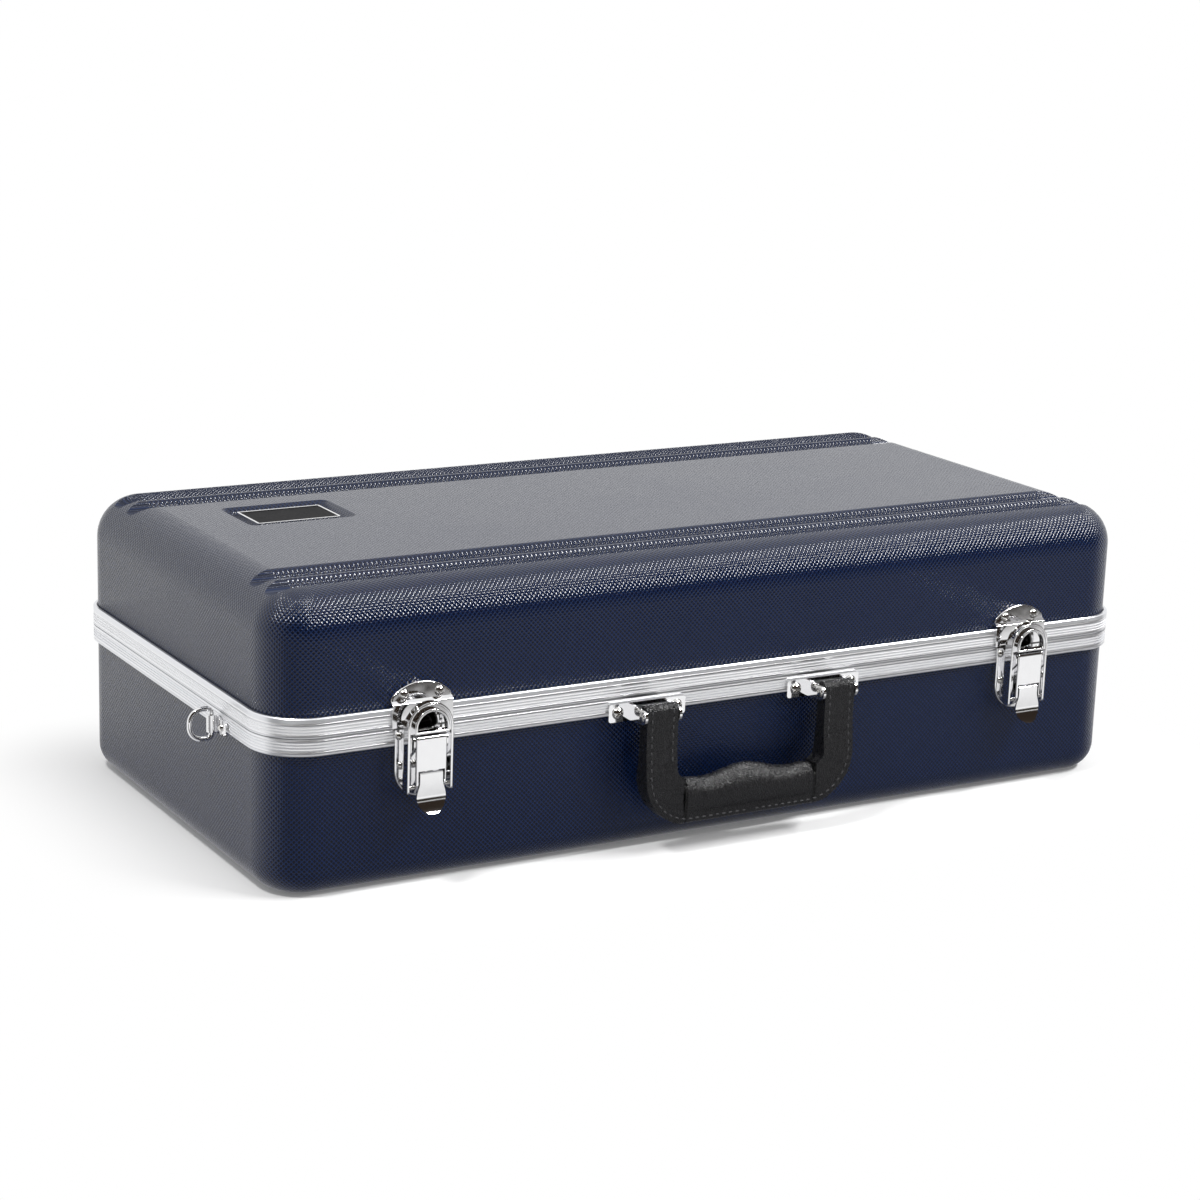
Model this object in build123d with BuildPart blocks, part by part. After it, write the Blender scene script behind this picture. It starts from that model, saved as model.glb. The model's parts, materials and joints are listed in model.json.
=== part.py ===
"""Hard trumpet case: moulded shells, aluminium valances, draw latches, handle and lining.

Frame: origin at the centre of the base's underside, +X along the length, +Y to the
hinge side, +Z up. The latches and the handle face -Y. Millimetres.
"""

import os

from build123d import *

# ---------------------------------------------------------------- driving dimensions
# Case envelope, measured over the valances
LENGTH = 560.0
WIDTH = 278.0
HEIGHT = 164.0
CORNER_R = 30.0
PARTING_Z = 88.7

# Moulded shells
SHELL_WALL = 3.0
SHELL_INSET = 2.6
BASE_EDGE_R = 16.0
LID_EDGE_R = 24.0

# Lid grooves: two channels along each long side
GROOVE_DEPTH = 5.2
GROOVE_TOP_W = 18.0
GROOVE_FLOOR_W = 7.0
GROOVE_INNER_Y = 87.5
GROOVE_PITCH = 19.5
GROOVE_ROUND = 3.5
CREST_ROUND = 1.6

# Recess for the badge on the lid
BADGE_X = -191.0
BADGE_Y = 38.5
BADGE_LENGTH = 51.0
BADGE_WIDTH = 31.0
BADGE_T = 2.0
BADGE_BORDER = 1.3
BADGE_FACE_SINK = 0.35
RECESS_MARGIN = 3.5
RECESS_DEPTH = 3.0
RECESS_SLOPE = 4.0

# Aluminium valances
PARTING_GAP = 0.4
LOWER_BAND = 9.5
UPPER_BAND = 10.7
VALANCE_WEB = 2.45
VALANCE_FLANGE = 1.5
VALANCE_LEG = 1.3
VALANCE_LEG_H = 7.0
SHELL_PLAY = 0.1
REED_DEPTH = 0.45
REED_WIDTH = 0.9
REED_FIRST = 2.75
REED_PITCH = 1.55
REED_COUNT = 3
TONGUE_T = 1.5
TONGUE_H = 2.4
TONGUE_PLAY = 0.7
TONGUE_INSET = 4.6

# Riveting
RIVET_PLAY = 0.05
PIN_PLAY = 0.06
SIDE_PLAY = 0.3

# Lid hinges
HINGE_X = 175.0
HINGE_LENGTH = 52.0
HINGE_KNUCKLES = 5
HINGE_LEAF_T = 1.2
HINGE_LEAF_H = 9.2
HINGE_AXIS_OUT = 3.4
HINGE_KNUCKLE_R = 2.7
HINGE_PIN_R = 1.4
HINGE_RIVETS = 3
HINGE_RIVET_PITCH = 18.0
HINGE_RIVET_Z = 6.6

# Draw latches, measured out from the valance face
LATCH_X = 196.1
LATCH_SHIFT = 1.5
LATCH_FRONT = 12.4
SHEET_T = 1.2
KEEPER_W = 35.2
KEEPER_TOP_Z = 112.6
KEEPER_SHOULDER_Z = 105.0
KEEPER_SHOULDER_R = 4.0
KEEPER_STEP_Z = 101.6
KEEPER_SLOPE = 1.6
KEEPER_DOME_T = 1.9
KEEPER_RIVET_X = 10.3
KEEPER_RIVET_Z = 106.3
NOSE_R = 11.5
NOSE_SINK = 5.4
NOSE_CENTRE_Z = 91.0
NOSE_BOTTOM_Z = 89.3
PLATE_HALF_W = 16.0
PLATE_BOTTOM_Z = 50.5
PLATE_RIVETS = ((12.4, 68.7), (13.6, 84.9))
EAR_T = 0.8
EAR_INNER = 9.1
LEVER_HALF_W = 8.8
LEVER_SHEET = 1.0
LEVER_TOP_Z = 86.9
LEVER_HORN_Z = 60.6
LEVER_FLANGE_DEPTH = 7.4
LEVER_ROLL_R = 1.8
NOTCH_HALF_W = 7.7
NOTCH_TOP_Z = 67.8
LEVER_AXIS_OUT = 8.5
LEVER_AXIS_Z = 83.3
LEVER_EYE_R = 3.2
LATCH_PIN_R = 1.3
BAIL_HALF_W = 13.25
BAIL_STRAP_T = 1.5
BAIL_SHEET = 1.0
BAIL_FRONT = 11.0
BAIL_CENTRE_Z = 90.8
BAIL_RING_DEPTH = 4.4
BAIL_LEG_DEPTH = 6.0
BAIL_SLOPE_ZS = (93.0, 98.0)
BAIL_AXIS_OUT = 8.0
BAIL_AXIS_Z = 58.2
BAIL_BOTTOM_Z = 55.3
BAIL_EDGE_R = 0.5
BAIL_WEB_OUT = 10.3
WINDOW_HALF_W = 8.5
WINDOW_CENTRE_Z = 91.0
WINDOW_BOTTOM_Z = 89.2
WINDOW_BAR = 1.4
LIP_W = 1.6
LIP_FRONT = 13.0
LIP_EDGE_R = 0.5
CATCH_HALF_TOP = 6.6
CATCH_HALF_LOW = 8.4
CATCH_TOP_Z = 67.0
CATCH_NECK_Z = 62.2
CATCH_CURL_Z = 53.6
CATCH_BOTTOM_Z = 44.8
CATCH_CURL_OUT = 4.0
CATCH_EYE_R = 2.5
CATCH_EYE_W = 2.0
CATCH_ARM_H = 2.4
CATCH_OVERLAP = 0.5
SPRING_WIRE = 0.6
SPRING_PITCH = 1.15
SPRING_BORE_PLAY = 0.1
SPRING_TURNS = 4

# Handle
HANDLE_SPREAD = 58.0
BRACKET_LENGTH = 48.5
BRACKET_H = 10.2
BRACKET_T = 1.5
BRACKET_STRIP = 1.8
BRACKET_Z = 80.9
BRACKET_SCREW_X = 18.6
BRACKET_EAR_T = 1.5
BRACKET_EAR_R = 4.2
BRACKET_CORNER_R = 1.6
HANDLE_AXIS_OUT = 15.0
HANDLE_AXIS_Z = 81.5
HANDLE_LEG_W = 19.6
HANDLE_MID_OUT = 14.4
HANDLE_T = 7.8
HANDLE_LOW_T = 11.0
HANDLE_TAPER_ZS = (46.0, 62.0)
HANDLE_TOP_Z = 87.6
HANDLE_BOTTOM_Z = 18.0
HANDLE_CORNER_R = 29.0
HANDLE_INNER_R = 6.4
HANDLE_HEM = 6.4
SEAM_INSET = 5.2
SEAM_X = HANDLE_SPREAD - HANDLE_LEG_W / 2 - SEAM_INSET
SEAM_PLAY = 0.1
SEAM_TOP_ZS = (44.6, 41.4)
HANDLE_PIN_R = 1.7
GRIP_WIDEST_Z = 32.5
GRIP_STATIONS = (
    (-42.9, 43.8, 12.2), (-30.0, 42.6, 14.6), (-12.5, 45.8, 16.4), (-3.0, 47.2, 16.8),
    (10.0, 45.2, 16.4), (28.0, 41.8, 14.6), (42.9, 40.6, 12.2),
)

# Strap rings on the ends
RING_Y = -70.0
RING_WIRE_R = 1.35
RING_BAR = 16.4
RING_BOW_R = 7.2
RING_BEND_R = 2.4
RING_REACH = 12.3
RING_Z = 81.6
RING_AXIS_OUT = 3.5
CLIP_LENGTH = 14.0
CLIP_H = 9.4
CLIP_T = 1.2
CLIP_RIVET_Y = -77.5
CLIP_RIVET_Z = 80.6
CLIP_TIP_HALF_H = 3.8
CLIP_TIP_R = 3.0

# Lining: foam bed with pockets in the base, padded tray in the lid
LINING_PLAY = 0.4
BED_INSET = 8.0
BED_TOP_Z = 80.0
BELL_X = 190.0
BELL_D = 132.0
BELL_L = 96.0
BELL_FLOOR_Z = 16.0
TRUMPET_Y = -34.0
BODY_END_X = -246.0
BODY_W = 84.0
BODY_FLOOR_Z = 30.0
VALVE_X = -36.0
VALVE_L = 92.0
VALVE_W = 176.0
VALVE_FLOOR_Z = 44.0
POCKET_R = 14.0
BOX_X = -120.0
BOX_L = 252.0
BOX_Y = 88.0
BOX_W = 44.0
BOX_FLOOR_Z = 24.0
FLAP_LEDGE = 5.0
FLAP_T = 5.0
FLAP_PLAY = 0.8
MOUTHPIECE_XS = (62.0, 100.0)
MOUTHPIECE_R = 14.0
MOUTHPIECE_DEPTH = 58.0
PAD_INSET = 9.0
PAD_WALL = 5.0
PAD_TOP_T = 11.0
PAD_EDGE_R = 18.0

# Small hinge of the accessory flap
FLAP_HINGE_L = 96.0
FLAP_HINGE_LEAF_T = 0.9
FLAP_HINGE_LEAF_H = 9.0
FLAP_HINGE_AXIS_OUT = 1.6
FLAP_HINGE_KNUCKLE_R = 1.5
FLAP_HINGE_PIN_R = 0.8

# ---------------------------------------------------------------- derived places
HALF_L = LENGTH / 2
HALF_W = WIDTH / 2
LOWER_TOP_Z = PARTING_Z - PARTING_GAP / 2
LOWER_BOTTOM_Z = LOWER_TOP_Z - LOWER_BAND
UPPER_BOTTOM_Z = PARTING_Z + PARTING_GAP / 2
UPPER_TOP_Z = UPPER_BOTTOM_Z + UPPER_BAND
BASE_SHELL_TOP = LOWER_TOP_Z - VALANCE_FLANGE - SHELL_PLAY
GROOVE_ROOF_Z = UPPER_BOTTOM_Z + TONGUE_H + SIDE_PLAY
LID_SHELL_BOTTOM = GROOVE_ROOF_Z + VALANCE_FLANGE + SHELL_PLAY
SHELL_INNER = SHELL_INSET + SHELL_WALL
LEG_OUTER = SHELL_INNER + SHELL_PLAY

os.makedirs("parts", exist_ok=True)


def save(part, label):
    """Names a finished piece and writes it as a STEP file of that name."""
    part.label = label
    export_step(part, f"parts/{label}.step")


def front(out=0.0, x=0.0):
    """Plane on the front valance face: local x is +X, local y is +Z, normal is -Y."""
    return Plane(origin=(x, -HALF_W - out, 0), x_dir=(1, 0, 0), z_dir=(0, -1, 0))


def side_profile(x):
    """Plane across the front hardware: local x is the stand-out (-Y), local y is +Z."""
    return Plane(origin=(x, -HALF_W, 0), x_dir=(0, -1, 0), z_dir=(-1, 0, 0))


def rim_rectangle(inset, z):
    """Filled plan outline of the case, moved in from the valance face."""
    with BuildSketch(Plane.XY.offset(z)) as outline:
        RectangleRounded(LENGTH - 2 * inset, WIDTH - 2 * inset, CORNER_R - inset)
    return outline.sketch


def rivet(place, head_r, head_h, shank_r, shank_l):
    """Domed rivet: its head stands on the placed plane, its shank goes below it."""
    ball_r = (head_r**2 + head_h**2) / (2 * head_h)
    with BuildPart() as piece:
        with BuildSketch(Plane.XZ):
            with BuildLine():
                dome = RadiusArc((head_r, 0), (0, head_h), -ball_r)
                Polyline(dome @ 1, (0, -shank_l), (shank_r, -shank_l), (shank_r, 0), dome @ 0)
            make_face()
        revolve(axis=Axis.Z)
    return piece.part.moved(place.location)


def slotted_screw(place, head_r, head_h, shank_r, shank_l):
    """Oval-head screw with a driver slot, seated like a rivet."""
    with BuildPart() as piece:
        add(rivet(Plane.XY, head_r, head_h, shank_r, shank_l))
        with BuildSketch(Plane.XY.offset(head_h)):
            Rectangle(2 * head_r, head_r * 0.26, rotation=25)
        extrude(amount=-head_h * 0.45, mode=Mode.SUBTRACT)
    return piece.part.moved(place.location)


def cylinder_x(x0, x1, y, z, radius):
    """Round bar along X."""
    with BuildPart() as bar:
        with BuildSketch(Plane(origin=(x0, y, z), x_dir=(0, 1, 0), z_dir=(1, 0, 0))):
            Circle(radius)
        extrude(amount=x1 - x0)
    return bar.part


def drill(places, radius, depth):
    """Round holes from each placed plane down its normal, to subtract."""
    with BuildPart() as holes:
        for place in places:
            with BuildSketch(place):
                Circle(radius)
            extrude(amount=-depth)
    return holes.part


# ---------------------------------------------------------------- fastener places
HINGE_XS = (-HINGE_X, HINGE_X)
LATCH_XS = {"left": LATCH_SHIFT - LATCH_X, "right": LATCH_SHIFT + LATCH_X}
HANDLE_XS = {"left": -HANDLE_SPREAD, "right": HANDLE_SPREAD}


def rear(out=0.0, x=0.0, z=0.0):
    """Plane on the rear valance face: local x is -X, local y is +Z, normal is +Y."""
    return Plane(origin=(x, HALF_W + out, z), x_dir=(-1, 0, 0), z_dir=(0, 1, 0))


def hinge_rivet_planes(sign, out):
    """Rivet places of both hinges on the lower (-1) or upper (+1) valance."""
    spread = (HINGE_RIVETS - 1) / 2
    return [
        rear(out, x + (i - spread) * HINGE_RIVET_PITCH, PARTING_Z + sign * HINGE_RIVET_Z)
        for x in HINGE_XS
        for i in range(HINGE_RIVETS)
    ]


def at_front(out, x, z):
    """Plane facing forward at one point of the front."""
    return Plane(origin=(x, -HALF_W - out, z), x_dir=(1, 0, 0), z_dir=(0, -1, 0))


def latch_plate_rivet_planes(out):
    """Rivet places that hold both latch plates."""
    return [
        at_front(out, x + side * u, z)
        for x in LATCH_XS.values()
        for side in (-1, 1)
        for u, z in PLATE_RIVETS
    ]


def keeper_rivet_planes(out):
    """Rivet places that hold both keepers on the lid."""
    return [
        at_front(out, x + side * KEEPER_RIVET_X, KEEPER_RIVET_Z)
        for x in LATCH_XS.values()
        for side in (-1, 1)
    ]


def bracket_screw_planes(out):
    """Screw places of the two handle brackets."""
    return [
        at_front(out, x + side * BRACKET_SCREW_X, BRACKET_Z)
        for x in HANDLE_XS.values()
        for side in (-1, 1)
    ]


def clip_rivet_planes(out):
    """Rivet places of the two strap ring clips."""
    return [
        Plane(
            origin=(side * (HALF_L + out), CLIP_RIVET_Y, CLIP_RIVET_Z),
            x_dir=(0, 1, 0),
            z_dir=(side, 0, 0),
        )
        for side in (-1, 1)
    ]


SMALL_RIVET = {"head_r": 2.3, "head_h": 1.7, "shank_r": 1.2}
BIG_RIVET = {"head_r": 3.0, "head_h": 2.1, "shank_r": 1.6}
SCREW = {"head_r": 3.6, "head_h": 2.6, "shank_r": 1.8}


def holes_for(planes, fastener, depth):
    """Clearance holes for a set of fasteners."""
    return drill(planes, fastener["shank_r"] + RIVET_PLAY, depth)


# ---------------------------------------------------------------- shells
def base_shell():
    """Base tray moulded from sheet: flat floor, rounded bottom edge, open top."""
    with BuildPart() as tray:
        add(rim_rectangle(SHELL_INSET, 0))
        extrude(amount=BASE_SHELL_TOP)
        fillet(tray.edges().group_by(Axis.Z)[0], BASE_EDGE_R)
        with BuildPart(mode=Mode.SUBTRACT) as hollow:
            add(rim_rectangle(SHELL_INNER, SHELL_WALL))
            extrude(amount=BASE_SHELL_TOP)
            fillet(hollow.edges().group_by(Axis.Z)[0], BASE_EDGE_R - SHELL_WALL)
        low = [p for p in latch_plate_rivet_planes(0) if p.origin.Z < LOWER_BOTTOM_Z]
        add(holes_for(low, SMALL_RIVET, SHELL_INNER + 1), mode=Mode.SUBTRACT)
    return tray.part


def groove_cutter(grow, drop):
    """Both channel pairs as one cutter, widened and lowered for the inner face."""
    top = HEIGHT - drop
    floor = top - GROOVE_DEPTH
    half_top = GROOVE_TOP_W / 2 + grow
    half_floor = GROOVE_FLOOR_W / 2 + grow
    near = GROOVE_INNER_Y
    far = GROOVE_INNER_Y + GROOVE_PITCH
    crest = top - 0.4
    mid = (near + far) / 2
    reach = LENGTH / 2 + 10
    with BuildPart() as cutter:
        for side in (-1, 1):
            with BuildSketch(Plane.YZ.offset(-reach)) as section:
                with BuildLine():
                    FilletPolyline(
                        (side * (near - half_top - 6), top + 8),
                        (side * (near - half_top - 6), top),
                        (side * (near - half_top), top),
                        (side * (near - half_floor), floor),
                        (side * (near + half_floor), floor),
                        (side * (mid - 0.9), crest),
                        (side * (mid + 0.9), crest),
                        (side * (far - half_floor), floor),
                        (side * (far + half_floor), floor),
                        (side * (far + half_top), top),
                        (side * (far + half_top + 6), top),
                        (side * (far + half_top + 6), top + 8),
                        radius=(
                            0, 0, GROOVE_ROUND, GROOVE_ROUND, GROOVE_ROUND, CREST_ROUND,
                            CREST_ROUND, GROOVE_ROUND, GROOVE_ROUND, GROOVE_ROUND, 0, 0,
                        ),
                        close=True,
                    )
                make_face()
            extrude(amount=2 * reach)
    return cutter.part


def recess_cutter(grow, drop):
    """Sloped pocket for the badge, widened and lowered for the inner face."""
    length = BADGE_LENGTH + 2 * (RECESS_MARGIN + grow)
    width = BADGE_WIDTH + 2 * (RECESS_MARGIN + grow)
    with BuildPart() as cutter:
        with BuildSketch(Plane.XY.offset(HEIGHT - drop - RECESS_DEPTH)):
            with Locations((BADGE_X, BADGE_Y)):
                RectangleRounded(length, width, 3.0)
        with BuildSketch(Plane.XY.offset(HEIGHT - drop)):
            with Locations((BADGE_X, BADGE_Y)):
                RectangleRounded(length + 2 * RECESS_SLOPE, width + 2 * RECESS_SLOPE, 5.0)
        loft()
    return cutter.part


def lid_shell():
    """Lid moulding: rounded edges, two channel pairs and the badge recess."""
    with BuildPart() as cover:
        add(rim_rectangle(SHELL_INSET, LID_SHELL_BOTTOM))
        extrude(amount=HEIGHT - LID_SHELL_BOTTOM)
        fillet(cover.edges().group_by(Axis.Z)[-1], LID_EDGE_R)
        add(groove_cutter(0, 0), mode=Mode.SUBTRACT)
        add(recess_cutter(0, 0), mode=Mode.SUBTRACT)
        with BuildPart(mode=Mode.SUBTRACT) as hollow:
            add(rim_rectangle(SHELL_INNER, LID_SHELL_BOTTOM))
            extrude(amount=HEIGHT - SHELL_WALL - LID_SHELL_BOTTOM)
            fillet(hollow.edges().group_by(Axis.Z)[-1], LID_EDGE_R - SHELL_WALL)
            add(groove_cutter(1.2, SHELL_WALL), mode=Mode.SUBTRACT)
            add(recess_cutter(1.2, SHELL_WALL), mode=Mode.SUBTRACT)
        add(holes_for(keeper_rivet_planes(0), BIG_RIVET, SHELL_INNER + 1), mode=Mode.SUBTRACT)
    return cover.part


# ---------------------------------------------------------------- valances
def ring(inset0, inset1, z0, z1):
    """Plain band of the rim between two insets and two heights."""
    with BuildPart() as band:
        with BuildSketch(Plane.XY.offset(z0)):
            RectangleRounded(LENGTH - 2 * inset0, WIDTH - 2 * inset0, CORNER_R - inset0)
            RectangleRounded(LENGTH - 2 * inset1, WIDTH - 2 * inset1, CORNER_R - inset1,
                             mode=Mode.SUBTRACT)
        extrude(amount=z1 - z0)
    return band.part


def reeds(sign):
    """Fine lines along the valance's face, counted from the parting line."""
    edge = LOWER_TOP_Z if sign < 0 else UPPER_BOTTOM_Z
    with BuildPart() as lines:
        for i in range(REED_COUNT):
            z = edge + sign * (REED_FIRST + i * REED_PITCH)
            add(ring(-1.0, REED_DEPTH, z - REED_WIDTH / 2, z + REED_WIDTH / 2))
    return lines.part


def base_valance():
    """Lower valance: reeded outer web, flange over the shell edge, leg and tongue."""
    with BuildPart() as band:
        add(ring(0, VALANCE_WEB, LOWER_BOTTOM_Z, LOWER_TOP_Z))
        chamfer(band.edges().group_by(Axis.Z)[0], 0.6)
        add(ring(0, LEG_OUTER + VALANCE_LEG, LOWER_TOP_Z - VALANCE_FLANGE, LOWER_TOP_Z))
        add(ring(LEG_OUTER, LEG_OUTER + VALANCE_LEG, LOWER_TOP_Z - VALANCE_LEG_H, LOWER_TOP_Z))
        add(ring(TONGUE_INSET, TONGUE_INSET + TONGUE_T, LOWER_TOP_Z, LOWER_TOP_Z + TONGUE_H))
        add(reeds(-1), mode=Mode.SUBTRACT)
        upper = [p for p in latch_plate_rivet_planes(0) if p.origin.Z > LOWER_BOTTOM_Z]
        add(holes_for(upper, SMALL_RIVET, VALANCE_WEB), mode=Mode.SUBTRACT)
        add(holes_for(bracket_screw_planes(0), SCREW, VALANCE_WEB), mode=Mode.SUBTRACT)
        add(holes_for(clip_rivet_planes(0), SMALL_RIVET, VALANCE_WEB), mode=Mode.SUBTRACT)
        add(holes_for(hinge_rivet_planes(-1, 0), SMALL_RIVET, VALANCE_WEB), mode=Mode.SUBTRACT)
    return band.part


def lid_valance():
    """Upper valance: reeded web, roofed channel for the tongue, and inner leg."""
    groove0 = TONGUE_INSET - TONGUE_PLAY
    groove1 = TONGUE_INSET + TONGUE_T + TONGUE_PLAY
    inner = groove1 + VALANCE_LEG
    roof1 = GROOVE_ROOF_Z + VALANCE_FLANGE
    with BuildPart() as band:
        add(ring(0, VALANCE_WEB, UPPER_BOTTOM_Z, UPPER_TOP_Z))
        chamfer(band.edges().group_by(Axis.Z)[-1], 0.6)
        add(ring(0, groove0, UPPER_BOTTOM_Z, roof1))
        add(ring(0, inner, GROOVE_ROOF_Z, roof1))
        add(ring(groove1, inner, UPPER_BOTTOM_Z, roof1))
        add(ring(LEG_OUTER, LEG_OUTER + VALANCE_LEG, GROOVE_ROOF_Z, roof1 + VALANCE_LEG_H - 1))
        add(reeds(1), mode=Mode.SUBTRACT)
        add(holes_for(hinge_rivet_planes(1, 0), SMALL_RIVET, VALANCE_WEB), mode=Mode.SUBTRACT)
    return band.part


# ---------------------------------------------------------------- badge
def badge_plate():
    """Bare metal plate with a raised border, seated in the lid's recess."""
    floor = HEIGHT - RECESS_DEPTH
    with BuildPart() as plate:
        with BuildSketch(Plane.XY.offset(floor)):
            with Locations((BADGE_X, BADGE_Y)):
                RectangleRounded(BADGE_LENGTH, BADGE_WIDTH, 1.5)
        extrude(amount=BADGE_T)
        with BuildSketch(Plane.XY.offset(floor + BADGE_T)):
            with Locations((BADGE_X, BADGE_Y)):
                Rectangle(BADGE_LENGTH - 2 * BADGE_BORDER, BADGE_WIDTH - 2 * BADGE_BORDER)
        extrude(amount=-BADGE_T / 2, mode=Mode.SUBTRACT)
    return plate.part


def badge_face():
    """Plain dark inlay inside the border."""
    with BuildPart() as inlay:
        with BuildSketch(Plane.XY.offset(HEIGHT - RECESS_DEPTH + BADGE_T / 2)):
            with Locations((BADGE_X, BADGE_Y)):
                Rectangle(
                    BADGE_LENGTH - 2 * BADGE_BORDER - 2 * RIVET_PLAY,
                    BADGE_WIDTH - 2 * BADGE_BORDER - 2 * RIVET_PLAY,
                )
        extrude(amount=BADGE_T / 2 - BADGE_FACE_SINK)
    return inlay.part


# ---------------------------------------------------------------- butt hinges
def hinge_leaf(sign, length, leaf_t, leaf_h, axis_out, knuckle_r, bore_r):
    """One leaf turning about the X axis, fixed (-1, below) or moving (+1, above).

    The leaf's back lies on the plane y = -axis_out; its own knuckles alternate with
    notches for those of the other leaf.
    """
    pitch = length / HINGE_KNUCKLES
    starts = [i * pitch - length / 2 for i in range(HINGE_KNUCKLES)]
    own = starts[0::2] if sign < 0 else starts[1::2]
    foreign = starts[1::2] if sign < 0 else starts[0::2]
    with BuildPart() as leaf:
        with BuildSketch(Plane.XZ.offset(axis_out)):
            with Locations((0, sign * leaf_h / 2)):
                Rectangle(length, leaf_h)
            with Locations(*[(start + pitch / 2, 0) for start in foreign]):
                Rectangle(pitch + SIDE_PLAY, 2 * (knuckle_r + SIDE_PLAY), mode=Mode.SUBTRACT)
        extrude(amount=-leaf_t)
        for start in own:
            with BuildSketch(Plane.YZ.offset(start + SIDE_PLAY / 2)):
                Circle(knuckle_r)
                with Locations((-axis_out / 2, sign * knuckle_r / 2)):
                    Rectangle(axis_out, knuckle_r)
            extrude(amount=pitch - SIDE_PLAY)
        with BuildSketch(Plane.YZ.offset(-length / 2 - 1)):
            Circle(bore_r)
        extrude(amount=length + 2, mode=Mode.SUBTRACT)
    return leaf.part


def hinge_set(length, leaf_t, leaf_h, axis_out, knuckle_r, pin_r):
    """Fixed leaf, moving leaf and pin of a butt hinge about the X axis."""
    shape = (length, leaf_t, leaf_h, axis_out, knuckle_r)
    fixed = hinge_leaf(-1, *shape, pin_r + RIVET_PLAY)
    moving = hinge_leaf(1, *shape, pin_r + PIN_PLAY)
    return fixed, moving, cylinder_x(-length / 2, length / 2, 0, 0, pin_r)


def lid_hinges():
    """Two riveted hinges behind the valances, with their pins and rivets."""
    fixed, moving, pin = hinge_set(
        HINGE_LENGTH, HINGE_LEAF_T, HINGE_LEAF_H, HINGE_AXIS_OUT,
        HINGE_KNUCKLE_R, HINGE_PIN_R,
    )
    lower = holes_for(hinge_rivet_planes(-1, HINGE_LEAF_T + 1), SMALL_RIVET, 4)
    upper = holes_for(hinge_rivet_planes(1, HINGE_LEAF_T + 1), SMALL_RIVET, 4)
    for name, x in zip(("left", "right"), HINGE_XS):
        place = Location((x, HALF_W + HINGE_AXIS_OUT, PARTING_Z))
        save(fixed.moved(place) - lower, f"hinge_{name}_base_leaf")
        save(moving.moved(place) - upper, f"hinge_{name}_lid_leaf")
        save(pin.moved(place), f"hinge_{name}_pin")
    for label, sign in (("hinge_base_rivets", -1), ("hinge_lid_rivets", 1)):
        planes = hinge_rivet_planes(sign, HINGE_LEAF_T)
        solids = [rivet(p, shank_l=HINGE_LEAF_T + VALANCE_WEB, **SMALL_RIVET) for p in planes]
        save(Compound(children=solids), label)


# ---------------------------------------------------------------- draw latches
def keeper_nose(x):
    """Hooded boss that the bail's window frames: part of a ball with a flat underside."""
    with BuildPart() as boss:
        with Locations((x, -HALF_W + NOSE_SINK, NOSE_CENTRE_Z)):
            Sphere(NOSE_R)
        with BuildSketch(front(SHELL_PLAY, x)):
            with Locations((0, NOSE_BOTTOM_Z + NOSE_R)):
                Rectangle(2 * NOSE_R, 2 * NOSE_R)
        extrude(amount=NOSE_R, mode=Mode.INTERSECT)
    return boss.part


def keeper(x):
    """Joggled keeper plate on the lid: domed top, step over the valance, and nose."""
    back = -SHELL_INSET + SHELL_PLAY
    foot = UPPER_TOP_Z + SHELL_PLAY
    half = KEEPER_W / 2
    with BuildPart() as piece:
        with BuildSketch(front(back, x)):
            with BuildLine():
                left = Line((-half, foot), (-half, KEEPER_SHOULDER_Z))
                dome = ThreePointArc(left @ 1, (0, KEEPER_TOP_Z), (half, KEEPER_SHOULDER_Z))
                Polyline(dome @ 1, (half, foot), left @ 0)
            make_face()
        extrude(amount=KEEPER_DOME_T)
        shoulders = piece.edges().filter_by(Axis.Y).filter_by_position(
            Axis.Z, KEEPER_SHOULDER_Z - 0.1, KEEPER_SHOULDER_Z + 0.1
        )
        fillet(shoulders, KEEPER_SHOULDER_R)
        fillet(piece.faces().sort_by(Axis.Y)[0].edges().sort_by(Axis.Z)[1:], 1.0)
        with BuildSketch(side_profile(x + half)):
            with BuildLine():
                face = back + KEEPER_DOME_T
                skirt = SHELL_PLAY + SHEET_T
                bottom = UPPER_BOTTOM_Z + SIDE_PLAY
                FilletPolyline(
                    (back, foot), (back, KEEPER_STEP_Z + KEEPER_SLOPE),
                    (face, KEEPER_STEP_Z + KEEPER_SLOPE), (skirt, KEEPER_STEP_Z),
                    (skirt, bottom), (SHELL_PLAY, bottom), (SHELL_PLAY, foot),
                    radius=(0, 0, 0, 0.7, 0, 0, 0),
                    close=True,
                )
            make_face()
        extrude(amount=KEEPER_W)
        add(keeper_nose(x))
        add(holes_for(keeper_rivet_planes(2), BIG_RIVET, 6), mode=Mode.SUBTRACT)
    return piece.part


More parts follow.
